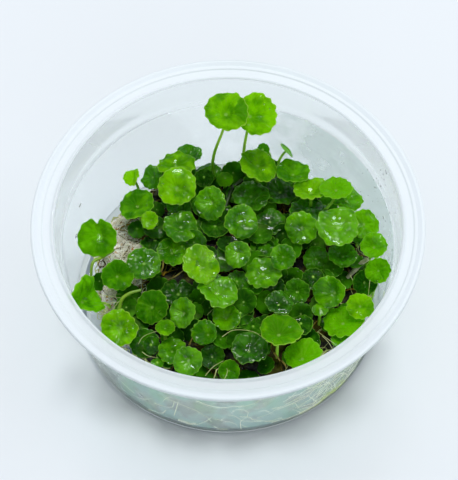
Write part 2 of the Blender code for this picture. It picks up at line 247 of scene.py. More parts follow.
# %% [markdown]
# ## Polypropylene, clear and frosted
#
# The tub is injection-moulded polypropylene. Its wall is clear but never as
# clear as glass: the plastic is partly crystalline, so it looks slightly milky,
# and that haze greys what stands behind it. The rim and the shoulder are
# rougher, so they look frosted and nearly white. The foot is a thick ring that
# takes more of the light, and so the tub has a dark line where it stands.
#
# Moist air fogs the wall from inside: evenly at the right, and at the front in
# clouds of 8 mm with clearer gaps. Fog is light that is scattered and not let
# through. Only the wall's inner side has it, so a root that is pressed to the
# wall still shows crisply.
#
# Polypropylene has IOR 1.49. A wall 0.7 mm thick hardly shifts what stands
# behind it, so a share of the light goes straight through, and the rest takes
# IOR 1.25, which keeps the wall's two sides from mirroring each other.

# %% Mix the plastics
def polypropylene(name, colour, clearness, roughness, shade, straight=0.0, fog=0.0):
    material, tree = new_material(name)
    place = add(tree, "ShaderNodeTexCoord").outputs["Object"]
    wave = add(tree, "ShaderNodeTexNoise", {"Vector": place, "Scale": 250.0, "Detail": 2.0})
    bump = add(tree, "ShaderNodeBump", {"Height": wave.outputs["Fac"], "Strength": 0.03, "Distance": 0.0004})
    plastic = add(tree, "ShaderNodeBsdfPrincipled", {"Normal": bump.outputs["Normal"], "IOR": 1.25})
    plastic.inputs["Base Color"].default_value = linear(colour)
    plastic.inputs["Roughness"].default_value = roughness
    plastic.inputs["Transmission Weight"].default_value = clearness
    if fog:
        side = add(tree, "ShaderNodeSeparateXYZ", {"Vector": place}).outputs
        front = add(tree, "ShaderNodeMapRange", {"Value": side["Y"], "From Min": -0.018, "From Max": -0.04})
        cloud = add(tree, "ShaderNodeTexNoise", {"Vector": place, "Scale": 120.0, "Detail": 3.0}).outputs["Fac"]
        cloud = add(tree, "ShaderNodeMapRange", {"Value": cloud, "From Min": 0.4, "From Max": 0.56, "To Min": 0.4})
        front = add(tree, "ShaderNodeMath", {0: front.outputs[0], 1: cloud.outputs[0]}, operation="MULTIPLY")
        back = add(tree, "ShaderNodeMath", {0: cloud.outputs[0], 1: 0.02, 2: side["X"]}, operation="MULTIPLY_ADD")
        back = add(tree, "ShaderNodeMapRange", {"Value": back.outputs[0], "From Min": 0.005, "From Max": 0.065})
        back.interpolation_type = "SMOOTHSTEP"
        back.inputs["To Max"].default_value = 0.6
        share = add(tree, "ShaderNodeMath", {0: front.outputs[0], 1: back.outputs[0]}, operation="MAXIMUM")
        clear = add(tree, "ShaderNodeMath", {0: share.outputs[0], 1: -fog, 2: clearness}, operation="MULTIPLY_ADD")
        tree.links.new(clear.outputs[0], plastic.inputs["Transmission Weight"])
        milk = add(tree, "ShaderNodeMix", {"Factor": share.outputs[0]}, data_type="RGBA")
        milk.inputs["A"].default_value = linear(colour)
        milk.inputs["B"].default_value = linear("#c8e8e2")
        tree.links.new(milk.outputs["Result"], plastic.inputs["Base Color"])
    let_by = add(tree, "ShaderNodeBsdfTransparent", {"Color": linear(shade)})
    path = add(tree, "ShaderNodeLightPath").outputs
    soft = add(tree, "ShaderNodeMath", {0: path["Is Shadow Ray"], 1: path["Is Diffuse Ray"]}, operation="MAXIMUM")
    through = add(tree, "ShaderNodeMath", {0: soft.outputs[0], 1: straight}, operation="MAXIMUM")
    wall = add(tree, "ShaderNodeMixShader", {0: through.outputs[0], 1: plastic.outputs[0], 2: let_by.outputs[0]})
    add(tree, "ShaderNodeOutputMaterial", {"Surface": wall.outputs[0]})
    return material


clear_plastic = polypropylene("polypropylene_moulded_clear", "#fafdfd", 0.97, 0.04, "#fcfefe", 0.7)
fogged_plastic = polypropylene("polypropylene_fogged_inside", "#fafdfd", 0.97, 0.04, "#fcfefe", 0.3, fog=0.85)
satin_plastic = polypropylene("polypropylene_moulded_satin", "#fafdfd", 0.85, 0.35, "#fcfefe", 0.75)
frosted_plastic = polypropylene("polypropylene_moulded_frosted", "#e7edf1", 0.3, 0.35, "#fafcfe")
thick_plastic = polypropylene("polypropylene_moulded_thick", "#f8fbfc", 0.25, 0.2, "#b4bcc0")
plastics = (clear_plastic, fogged_plastic, satin_plastic, frosted_plastic, thick_plastic)
print("plastics:", [plastic.name for plastic in plastics])

# %% [markdown]
# ## The tub
#
# A moulded tub is a shape of revolution, so it is spun from half of its
# section. The section starts at the middle of the floor inside, climbs the
# wall, goes over the lip and the lid's landing, round the outer edge, and back
# down outside to the middle underneath. Its sharp corners are rounded with a
# bevel on the points before it is spun, the way a mould maker rounds every
# edge. All its sizes come from the plain tub's own.

# %% Spin the tub from its section
TUB_HEIGHT, FLANGE_RADIUS, MOUTH_RADIUS, BASE_RADIUS = 48.0, 58.5, 51.6, 48.7
WALL, SHOULDER, LIP, LAND, FLOOR_TOP = 0.7, 37.0, 47.4, 47.0, 1.6
SPIN_STEPS = 144


def inner_wall(height):
    """The tub's inner radius at a height, both in millimetres."""
    if height >= SHOULDER:
        return MOUTH_RADIUS - 0.5
    foot, top = BASE_RADIUS - WALL, MOUTH_RADIUS - 1.3
    return foot + (top - foot) * max(height, 0.0) / SHOULDER


waist = inner_wall(SHOULDER - 1.3)
section = [
    (0.0, FLOOR_TOP), (BASE_RADIUS - 2.5, FLOOR_TOP), (inner_wall(3.0), FLOOR_TOP + 1.5),
    (waist, SHOULDER - 1.3), (MOUTH_RADIUS - 0.5, SHOULDER), (MOUTH_RADIUS, LIP - 0.5),
    (MOUTH_RADIUS + 0.6, LIP), (MOUTH_RADIUS + 1.3, LAND), (MOUTH_RADIUS + 3.4, LAND),
    (MOUTH_RADIUS + 3.8, LIP), (FLANGE_RADIUS - 2.2, LIP), (FLANGE_RADIUS - 1.0, TUB_HEIGHT),
    (FLANGE_RADIUS - 0.4, TUB_HEIGHT), (FLANGE_RADIUS, TUB_HEIGHT - 0.4), (FLANGE_RADIUS, LAND - 0.2),
    (FLANGE_RADIUS - 0.8, LAND - 0.2), (FLANGE_RADIUS - 1.3, LAND), (FLANGE_RADIUS - 2.3, LAND - 0.3),
    (MOUTH_RADIUS + 3.5, LAND - WALL), (MOUTH_RADIUS + 1.0, LAND - WALL),
    (MOUTH_RADIUS + WALL - 0.5, SHOULDER + 0.4), (waist + WALL, SHOULDER - 1.3), (BASE_RADIUS + 0.05, 2.4), (BASE_RADIUS, 1.6),
    (BASE_RADIUS - 1.2, 0.0), (BASE_RADIUS - 3.0, 0.0), (BASE_RADIUS - 3.8, FLOOR_TOP - WALL),
    (0.0, FLOOR_TOP - WALL),
]
bpy.ops.mesh.primitive_circle_add(vertices=len(section), radius=0.01)
tub = bpy.context.object
for point, (radius, height) in zip(tub.data.vertices, section):
    point.co = (radius * MM, 0.0, height * MM)
bpy.ops.object.mode_set(mode="EDIT")
bpy.ops.mesh.select_mode(type="EDGE")
bpy.ops.mesh.select_all(action="DESELECT")
outline = bmesh.from_edit_mesh(tub.data)
outline.edges.ensure_lookup_table()
closing = [e for e in outline.edges if all(v.co.x < 1e-6 for v in e.verts)]
for edge in closing:
    edge.select_set(True)
bmesh.update_edit_mesh(tub.data)
bpy.ops.mesh.delete(type="EDGE")
bpy.ops.mesh.select_mode(type="VERT")
shoulder = pick(lambda p: abs(p.z - (SHOULDER - 0.3) * MM) < 1.5 * MM)
bpy.ops.mesh.bevel(offset=0.6 * MM, segments=5, affect="VERTICES")
corners = shoulder + pick(lambda p: p.x > 1e-6 and abs(p.z - (SHOULDER - 0.3) * MM) > 1.5 * MM)
bpy.ops.mesh.bevel(offset=0.15 * MM, segments=3, affect="VERTICES")
bpy.ops.mesh.select_all(action="SELECT")
bpy.ops.mesh.spin(steps=SPIN_STEPS, angle=2 * math.pi, center=(0, 0, 0), axis=(0, 0, 1))
bpy.ops.mesh.select_all(action="SELECT")
bpy.ops.mesh.remove_doubles(threshold=0.00001)
bpy.ops.mesh.normals_make_consistent(inside=False)
bpy.ops.object.mode_set(mode="OBJECT")
tub.name = tub.data.name = "moulded_tub"
for plastic in plastics:
    tub.data.materials.append(plastic)
for face in tub.data.polygons:
    height, inwards = face.center.z / MM, face.normal.dot(face.center) < 0
    if height > 46.8:
        face.material_index = 3
    elif height < 2.3 and face.center.xy.length > 44 * MM and not (inwards and height > 1.5):
        face.material_index = 4
    elif height > SHOULDER - 1.7 and (inwards or height < SHOULDER + 0.6):
        face.material_index = 2
    elif height > 2.0 and inwards:
        face.material_index = 1
bpy.ops.object.shade_smooth_by_angle(angle=math.radians(50))
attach(tub, "root")
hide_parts("culture_tub")
print("tub:", corners, "corners rounded,", len(tub.data.polygons), "faces")

# %% [markdown]
# ## Leaf tissue
#
# A pennywort leaf is thin and full of water, with a waxy skin. Light falls
# through it, which is why the two tall leaves are brighter than the others.
# Where they cover each other, the upper one is darker by painted shade. A leaf
# of this kind has IOR 1.42 or so.
#
# The pattern is drawn in the leaf's own map: across, one unit to each lobe, and
# upwards from 0 at the heart to 1 at the edge. So a vein runs up the middle of
# each lobe and forks, the edge is a thin pale line, and the heart, where the
# stalk meets the blade, is a pale dot. Water lies on many leaves as a film: it
# is smooth and slightly raised, with a rounded shore that catches the light.

# %% Mix the leaf greens
TONE_AND_PAINTED_SHADE, WET, GRAIN = "leaf_tone_and_painted_shade", "leaf_wetness", "leaf_grain"


def leaf_tissue(name, dark, light, edge, glow, shine, thinness):
    material, tree = new_material(name)
    grain = add(tree, "ShaderNodeUVMap", uv_map=GRAIN)
    split = add(tree, "ShaderNodeSeparateXYZ", {"Vector": grain.outputs["UV"]})
    across, outwards = split.outputs["X"], split.outputs["Y"]

    def ramp(value, low, high, first, last):
        """A soft step from first to last while the value goes from low to high."""
        step = add(tree, "ShaderNodeMapRange", {"Value": value, "From Min": low, "From Max": high})
        step.interpolation_type = "SMOOTHSTEP"
        step.inputs["To Min"].default_value = first
        step.inputs["To Max"].default_value = last
        return step.outputs[0]

    def calculate(operation, *values):
        return add(tree, "ShaderNodeMath", dict(enumerate(values)), operation=operation).outputs[0]

    def blend(share, first, second):
        mix = add(tree, "ShaderNodeMix", {"Factor": share}, data_type="RGBA")
        for socket, colour in (("A", first), ("B", second)):
            if isinstance(colour, str):
                mix.inputs[socket].default_value = linear(colour)
            else:
                tree.links.new(colour, mix.inputs[socket])
        return mix.outputs["Result"]

    off = calculate("ABSOLUTE", calculate("SUBTRACT", calculate("FRACT", across), 0.5))
    main = ramp(calculate("MULTIPLY", off, outwards), 0.005, 0.035, 1.0, 0.0)
    fork = ramp(outwards, 0.3, 1.0, 0.0, 0.33)
    branch = ramp(calculate("ABSOLUTE", calculate("SUBTRACT", off, fork)), 0.01, 0.04, 0.6, 0.0)
    veins = calculate("MAXIMUM", main, branch)

    place = add(tree, "ShaderNodeTexCoord").outputs["Object"]
    # The green drifts between dark and light in patches of about 4 mm: partly the leaf's own mottling, partly painted
    # light and shade of an uneven blade.
    mottle_and_painted_shading = add(tree, "ShaderNodeTexNoise", {"Vector": place, "Scale": 260.0, "Detail": 5.0})
    # The tone attribute holds each leaf's own random tone, and on the upper tall leaf also painted shade.
    tone = add(tree, "ShaderNodeAttribute", attribute_name=TONE_AND_PAINTED_SHADE).outputs["Fac"]
    shade = ramp(calculate("ADD", mottle_and_painted_shading.outputs["Fac"], tone), 0.34, 0.7, 0.0, 1.0)
    green = blend(shade, dark, light)
    green = blend(calculate("MULTIPLY", veins, 0.12), green, edge)
    green = blend(ramp(outwards, 0.95, 1.0, 0.0, 0.8), green, edge)
    green = blend(ramp(outwards, 0.04, 0.1, 0.7, 0.0), green, "#b4dc70")

    wetness = add(tree, "ShaderNodeAttribute", attribute_name=WET).outputs["Fac"]
    pools = add(tree, "ShaderNodeTexNoise", {"Vector": place, "Scale": 300.0, "Detail": 2.0})
    film = ramp(calculate("ADD", pools.outputs["Fac"], wetness), 0.96, 1.04, 0.0, 1.0)
    skin = add(tree, "ShaderNodeTexNoise", {"Vector": place, "Scale": 1200.0, "Detail": 2.0})
    relief = calculate("MULTIPLY_ADD", veins, -0.12, skin.outputs["Fac"])
    dry = add(tree, "ShaderNodeBump", {"Height": relief, "Strength": 0.5, "Distance": 0.0001})
    ripple = add(tree, "ShaderNodeTexNoise", {"Vector": place, "Scale": 280.0, "Detail": 1.0})
    water = calculate("MULTIPLY_ADD", film, 0.5, ripple.outputs["Fac"])
    wet = add(tree, "ShaderNodeBump", {"Height": water, "Strength": 1.0, "Distance": 0.0004})

    blade = add(tree, "ShaderNodeBsdfPrincipled", {"Base Color": green, "Normal": dry.outputs[0], "IOR": 1.42})
    blade.inputs["Roughness"].default_value = shine
    blade.inputs["Specular IOR Level"].default_value = 0.35
    blade.inputs["Specular Tint"].default_value = linear("#b0d060")
    tree.links.new(film, blade.inputs["Coat Weight"])
    tree.links.new(wet.outputs[0], blade.inputs["Coat Normal"])
    blade.inputs["Coat Roughness"].default_value = 0.1
    blade.inputs["Coat IOR"].default_value = 1.5
    lit = add(tree, "ShaderNodeBsdfTranslucent", {"Color": blend(0.6, green, glow)})
    leaf = add(tree, "ShaderNodeMixShader", {"Fac": thinness, 1: blade.outputs[0], 2: lit.outputs[0]})
    add(tree, "ShaderNodeOutputMaterial", {"Surface": leaf.outputs[0]})
    return material


# The shaded tissue is the same leaf in darker greens: painted shade for the leaves that lie in the shade of others.
tissue = {
    "young_leaf": leaf_tissue("leaf_tissue_young", "#529a00", "#96d800", "#d0f060", "#bcf400", 0.42, 0.58),
    "mature_leaf": leaf_tissue("leaf_tissue_mature", "#388202", "#78c400", "#b8e852", "#aaee00", 0.36, 0.54),
    "shaded_leaf": leaf_tissue("leaf_tissue_painted_shade", "#1a5208", "#4a9806", "#92d044", "#78c80c", 0.34, 0.48),
}
print("leaf tissues:", ", ".join(tissue))

# %% [markdown]
# ## Stalks and undersides
#
# A stalk is a water-filled stem without veins to see, smooth, pale green, with
# a slight shine. The underside of a blade has the same pale, dull green, so
# both take one material. The colour drifts a little along the length, in
# patches of about 8 mm.

# %% Mix the pale green of stalks
def plant_skin(name, first, second, scale, roughness, shine=0.5):
    """Two colours that drift into each other, with a fine bump."""
    material, tree = new_material(name)
    place = add(tree, "ShaderNodeTexCoord")
    drift = add(tree, "ShaderNodeTexNoise", {"Vector": place.outputs["Object"], "Scale": scale, "Detail": 4.0})
    share = add(tree, "ShaderNodeMapRange", {"Value": drift.outputs["Fac"], "From Min": 0.35, "From Max": 0.65})
    colour = add(tree, "ShaderNodeMix", {"Factor": share.outputs[0]}, data_type="RGBA")
    colour.inputs["A"].default_value = linear(first)
    colour.inputs["B"].default_value = linear(second)
    fine = add(tree, "ShaderNodeTexNoise", {"Vector": place.outputs["Object"], "Scale": 8 * scale, "Detail": 3.0})
    bump = add(tree, "ShaderNodeBump", {"Height": fine.outputs["Fac"], "Strength": 0.4, "Distance": 0.0001})
    skin = add(tree, "ShaderNodeBsdfPrincipled", {"Base Color": colour.outputs["Result"], "Roughness": roughness})
    tree.links.new(bump.outputs[0], skin.inputs["Normal"])
    skin.inputs["Specular IOR Level"].default_value = shine
    add(tree, "ShaderNodeOutputMaterial", {"Surface": skin.outputs[0]})
    return material


stalk_skin = plant_skin("leaf_stalk_skin", "#6cae14", "#a4d83c", 120.0, 0.4)

# %% [markdown]
# ## Leaf blades
#
# A few blades are modelled once, each from a circle: the edge is extruded
# inwards in rings and closed at the heart, so that points lie along the veins.
# Then it is shaped by pulling points. The ends of the lobes are pushed out and
# the gaps between them in, the veins are pressed down, and the heart sinks,
# because the stalk pulls there. Proportional editing carries each pull into
# the neighbourhood and gives the soft forms of a leaf.
#
# Each blade has radius 1 here and is scaled when it is copied. A subdivision
# smooths it, a cloud texture crinkles it between the veins, and Solidify gives
# it the thickness of a real leaf, 0.3 mm.

# %% Model the blades
RINGS = (0.93, 0.82, 0.66, 0.48, 0.3, 0.15)
BLADE_THICKNESS = 0.055


def draw_rings(name, lobes):
    """A disc of rings with its heart at the origin and the leaf's own map."""
    bpy.ops.mesh.primitive_circle_add(vertices=4 * lobes, radius=1.0)
    blade = bpy.context.object
    blade.name = name
    bpy.ops.object.mode_set(mode="EDIT")
    bpy.ops.mesh.select_all(action="SELECT")
    last = 1.0
    for ring in RINGS:
        bpy.ops.mesh.extrude_edges_indiv()
        bpy.ops.transform.resize(value=(ring / last,) * 3, center_override=(0, 0, 0))
        last = ring
    bpy.ops.mesh.extrude_edges_indiv()
    bpy.ops.mesh.merge(type="CENTER")
    bpy.ops.mesh.select_all(action="SELECT")
    bpy.ops.mesh.normals_make_consistent(inside=False)
    bpy.ops.object.mode_set(mode="OBJECT")
    grain = blade.data.uv_layers.new(name=GRAIN)
    for face in blade.data.polygons:
        middle = math.atan2(face.center.y, face.center.x)
        for corner in face.loop_indices:
            place = blade.data.vertices[blade.data.loops[corner].vertex_index].co
            out = place.length
            angle = math.atan2(place.y, place.x) if out > 0.01 else middle
            angle += 2 * math.pi * round((middle - angle) / (2 * math.pi))
            grain.data[corner].uv = (angle * lobes / (2 * math.pi), out)
    return blade


def pull(amount, reach=0.0, falloff="SMOOTH"):
    """Moves the picked points, and with a reach also what lies round them."""
    settings = {"use_proportional_edit": True, "proportional_size": reach} if reach else {}
    if reach:
        settings["proportional_edit_falloff"] = falloff
    bpy.ops.transform.translate(value=amount, **settings)


crinkle = bpy.data.textures.new("crinkle", "CLOUDS")
crinkle.noise_scale = 0.32


def shape_blade(name, lobes, notch=0.07, cleft=0.0, bowl=0.0, fold=0.0, wave=0.08, seed=0):
    blade = draw_rings(name, lobes)
    turn = 2 * math.pi / lobes
    luck = random.Random(seed)

    def is_tip(place, low, high):
        return low < place.xy.length < high and abs((math.atan2(place.y, place.x) / turn) % 1.0 - 0.5) < 0.1

    def is_gap(place, low, high):
        phase = (math.atan2(place.y, place.x) / turn) % 1.0
        return low < place.xy.length < high and min(phase, 1.0 - phase) < 0.1

    bpy.ops.object.mode_set(mode="EDIT")
    bpy.ops.mesh.select_mode(type="VERT")
    pick(lambda p: is_tip(p, 0.4, 0.95))
    pull((0, 0, -0.018))
    pick(lambda p: is_gap(p, 0.4, 0.95))
    pull((0, 0, 0.018))
    pick(lambda p: is_tip(p, 0.95, 1.1))
    bpy.ops.transform.resize(value=(1.03, 1.03, 1.0), center_override=(0, 0, 0))
    pick(lambda p: is_gap(p, 0.8, 0.85))
    bpy.ops.transform.resize(value=(1 - notch / 5, 1 - notch / 5, 1.0), center_override=(0, 0, 0))
    pick(lambda p: is_gap(p, 0.9, 0.95))
    bpy.ops.transform.resize(value=(1 - notch / 2, 1 - notch / 2, 1.0), center_override=(0, 0, 0))
    pick(lambda p: is_gap(p, 0.95, 1.1))
    bpy.ops.transform.resize(value=(1 - notch, 1 - notch, 1.0), center_override=(0, 0, 0))
    pick(lambda p: p.xy.length < 0.01)
    pull((0, 0, -0.13), 0.5)
    pick(lambda p: 0.5 < p.xy.length < 0.7)
    pull((0, 0, 0.05), 0.35)
    pick(lambda p: p.xy.length > 0.88)
    pull((0, 0, bowl), 0.9)
    pick(lambda p: p.xy.length > 0.95)
    pull((0, 0, -0.07), 0.25)
    if cleft:
        pick(lambda p: p.xy.length > 0.7 and abs(math.atan2(p.x, p.y)) < 0.1 * turn)
        pull((0, -cleft, 0), 0.22, "SHARP")
    for lobe in range(lobes):
        side = Vector((math.cos((lobe + 0.5) * turn), math.sin((lobe + 0.5) * turn)))
        pick(lambda p: p.xy.length > 0.9 and p.xy.angle(side) < 0.3 * turn)
        push = luck.uniform(-0.05, 0.06)
        pull((side.x * push, side.y * push, luck.uniform(-wave, wave)), luck.uniform(0.25, 0.6))
    if fold:
        pick(lambda p: p.x > 0.8)
        pull((-0.25 * fold, 0, fold), 0.9)
        pick(lambda p: p.x < -0.8)
        pull((0.25 * fold, 0, fold), 0.9)
    bpy.ops.object.mode_set(mode="OBJECT")
    apply_modifier(blade, "SUBSURF", levels=1, render_levels=1)
    apply_modifier(blade, "DISPLACE", texture=crinkle, direction="Z", strength=0.22, mid_level=0.5)
    apply_modifier(
        blade, "SOLIDIFY", thickness=BLADE_THICKNESS, offset=-1.0, material_offset=1, material_offset_rim=0
    )
    blade.data.shade_smooth()
    bpy.context.scene.collection.objects.unlink(blade)
    return blade


blades = {
    "flat": shape_blade("flat", 14, notch=0.05, bowl=0.05, wave=0.05, seed=1),
    "saucer": shape_blade("saucer", 13, notch=0.05, bowl=0.16, seed=2),
    "domed": shape_blade("domed", 12, notch=0.07, bowl=-0.14, seed=3),
    "ruffled": shape_blade("ruffled", 11, notch=0.1, wave=0.17, seed=4),
    "wavy": shape_blade("wavy", 13, notch=0.06, bowl=0.1, wave=0.14, seed=5),
    "cleft": shape_blade("cleft", 12, notch=0.06, cleft=0.45, bowl=-0.05, wave=0.06, seed=6),
    "cupped": shape_blade("cupped", 12, notch=0.06, bowl=0.34, seed=7),
    "folded": shape_blade("folded", 12, notch=0.06, fold=0.45, seed=8),
}
print("blades:", {name: len(blade.data.polygons) for name, blade in blades.items()})

# %% [markdown]
# ## One whole leaf
#
# A finished leaf is a copied blade and a stalk, joined. The blade is turned to
# face its own way, and its heart is pulled to where the stalk meets it. The
# stalk is a Bezier curve with two points, as one would draw it: it leaves the
# roots straight up and meets the blade square on. The curve gets a round
# section, with a flare at the foot, and is then turned into a mesh.

# %% A function that makes one leaf
STALK_RADIUS = 0.43


def draw_stalk(name, foot, heart, facing, bow, thickness):
    length = (heart - foot).length
    bpy.ops.curve.primitive_bezier_curve_add()
    stalk = bpy.context.object
    stalk.name = name
    low, high = stalk.data.splines[0].bezier_points
    low.co, high.co = foot, heart
    for point in (low, high):
        point.handle_left_type = point.handle_right_type = "FREE"
    low.handle_right = foot + Vector((-bow, 0.0, 0.45 * length))
    low.handle_left = foot * 2 - low.handle_right
    high.handle_left = heart - facing * (0.4 * length)
    high.handle_right = heart * 2 - high.handle_left
    low.radius, high.radius = 1.25, 0.95
    stalk.data.resolution_u = 14
    stalk.data.bevel_depth = thickness
    stalk.data.bevel_resolution = 2
    stalk.data.use_fill_caps = True
    bpy.ops.object.convert(target="MESH")
    weld = bmesh.new()
    weld.from_mesh(stalk.data)
    bmesh.ops.remove_doubles(weld, verts=weld.verts, dist=0.000005)
    weld.to_mesh(stalk.data)
    weld.free()
    stalk.data.shade_smooth()
    return stalk


def make_leaf(name, kind, slot, middle, heart, facing, radius, foot, spin, bow=0.0, tone=0.0, wet=0.0):
    """One leaf in its place. spin turns the blade about its own middle."""
    leaf = copy_of(blades[kind], name)
    side = Vector((0.0, 1.0, 0.2)).cross(facing).normalized()
    axes = Matrix((side, facing.cross(side), facing)).transposed()
    for point in leaf.data.vertices:
        share = min(point.co.xy.length, 1.0)
        flat = axes @ (Matrix.Rotation(spin, 3, "Z") @ point.co) * radius
        point.co = middle + flat + (heart - middle) * (1 - share * share)
    leaf.data.materials.append(tissue[slot])
    leaf.data.materials.append(stalk_skin)
    low = min(point.co.z for point in blades[kind].data.vertices if point.co.xy.length < 0.05)
    end = heart + facing * ((low + 0.02) * radius)
    stalk = draw_stalk(name + "_stalk", foot, end, facing, bow, STALK_RADIUS * MM)
    stalk.data.materials.append(tissue[slot])
    stalk.data.materials.append(stalk_skin)
    for face in stalk.data.polygons:
        face.material_index = 1
    for part in (leaf, stalk):
        for layer, value in ((TONE_AND_PAINTED_SHADE, tone), (WET, wet)):
            numbers = part.data.attributes.new(layer, "FLOAT", "POINT").data
            numbers.foreach_set("value", [value] * len(numbers))
    return join([leaf, stalk], name)


# %% [markdown]
# ## The fifty-six main leaves
#
# Each plain leaf says where its fine one goes. Its heart is the point where
# most edges meet, the points round it are the edge of the blade, and its
# lowest corner is the stalk's foot. From those come the middle, the radius and
# the way that the blade faces, and the fine leaf replaces the plain one.

# %% Measure the plain leaves and make the fine ones
BOWED_STALKS = {"leaf_01": 3.5 * MM, "leaf_02": 3.0 * MM}
KINDS = ("flat", "wavy", "domed", "ruffled", "saucer", "flat", "wavy", "domed", "ruffled")
SPECIAL_KINDS = {
    "leaf_04": "cleft", "leaf_48": "cleft", "leaf_49": "folded", "leaf_32": "cupped",
    "leaf_54": "cupped", "leaf_56": "folded", "leaf_01": "flat", "leaf_02": "flat", "leaf_45": "flat",
}
SPECIAL_SPINS = {"leaf_04": 0.0, "leaf_48": 0.0}
SPECIAL_SIZES = {"leaf_01": 1.12, "leaf_02": 1.12}
SPECIAL_TONES = {"leaf_01": 0.0, "leaf_02": 0.06, "leaf_45": -0.15, "leaf_48": 0.02, "leaf_56": 0.3}
DRY, DAMP, WET_THROUGH = 0.34, 0.48, 0.6
DRY_LEAVES = (1, 2, 12, 18, 21, 24, 25, 35, 36, 42, 45, 48, 49, 50, 51, 52, 53, 55, 56)
WET_LEAVES = (8, 16, 19, 20, 26, 27, 28, 31, 32, 33, 38, 39, 40, 43, 44, 46)
GOLDEN_TURN = math.pi * (3 - math.sqrt(5))
chance = random.Random(7)


def measure_leaf(node):
    bm = bmesh.new()
    bm.from_mesh(node.data)
    bmesh.ops.remove_doubles(bm, verts=bm.verts, dist=0.00002)
    hub = max(bm.verts, key=lambda v: len(v.link_edges))
    edge = [e.other_vert(hub).co.copy() for e in hub.link_edges]
    middle = sum(edge, Vector()) / len(edge)
    facing = sum((f.normal * f.calc_area() for f in hub.link_faces), Vector()).normalized()
    radius = max((p - middle).length for p in edge)
    lowest = min(bm.verts, key=lambda v: v.co.z).co.copy()
    base = sorted(bm.verts, key=lambda v: (v.co - lowest).length)[:4]
    foot = sum((v.co for v in base), Vector()) / len(base)
    heart = hub.co.copy()
    bm.free()
    return middle, heart, facing, radius, foot


slot_of = {part["node"]: part["material_slot"] for part in frame["record"]["subparts"]}
leaf_names = sorted(name for name in frame["nodes"] if name.startswith("leaf_"))
measured, main_leaves = [], []
for number, name in enumerate(leaf_names):
    middle, heart, facing, radius, foot = measure_leaf(frame["nodes"][name])
    kind = SPECIAL_KINDS.get(name, KINDS[number % len(KINDS)])
    spin = SPECIAL_SPINS.get(name, GOLDEN_TURN * number)
    wet = DRY if number + 1 in DRY_LEAVES else WET_THROUGH if number + 1 in WET_LEAVES else DAMP
    tone = SPECIAL_TONES.get(name, chance.uniform(-0.12, 0.15) + (0.1 if middle.x > 20 * MM else 0.0))
    leaf = make_leaf(
        "pennywort_" + name, kind, slot_of[name], middle, heart, facing, radius * SPECIAL_SIZES.get(name, 1.02),
        foot, spin, bow=BOWED_STALKS.get(name, 0.0), tone=tone, wet=wet,
    )
    main_leaves.append(leaf)
    measured.append((middle, facing, radius))
    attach(leaf, "root")
    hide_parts(name)
radii = [radius / MM for _, _, radius in measured]
print("leaves:", len(measured), "radii from", round(min(radii), 1), "to", round(max(radii), 1), "mm")

# %% [markdown]
# The two tall leaves cover each other a little. The light that the pale table
# sends up into the upper one has to pass the lower one first, so there it is
# darker. That darkness is painted shade: a ray straight down from each point of
# the upper leaf finds where, and the leaf's tone is lowered there.

# %% Paint shade on the upper tall leaf where it lies over the lower one
PAINTED_OVERLAP_SHADE, DOWN = -0.38, Vector((0, 0, -1))
upper_leaf, lower_leaf = main_leaves[:2]
below = BVHTree.FromObject(lower_leaf, bpy.context.evaluated_depsgraph_get())
covered = [
    number
    for number, point in enumerate(upper_leaf.data.vertices)
    if (point.co - measured[0][0]).length < 1.3 * measured[0][2] and below.ray_cast(point.co, DOWN, 6 * MM)[0]
]
# Painted shade: the tone of the covered points is lowered.
for number in covered:
    upper_leaf.data.attributes[TONE_AND_PAINTED_SHADE].data[number].value += PAINTED_OVERLAP_SHADE
print("covered points of the upper tall leaf:", len(covered))

# %% [markdown]
# ## Wet roots and mineral wool
#
# The clump grows in a plug of mineral wool, which shows as pale, specked fibre
# at the left. Everywhere else it is covered by roots, old stems and black silt,
# and it is wet, so it is dark with small reflections. Wet silt has a roughness
# of about 0.5.
#
# Which of the two is seen is a matter of place: the share of wool falls off
# from left to right over 12 mm, with a ragged border drawn by noise.

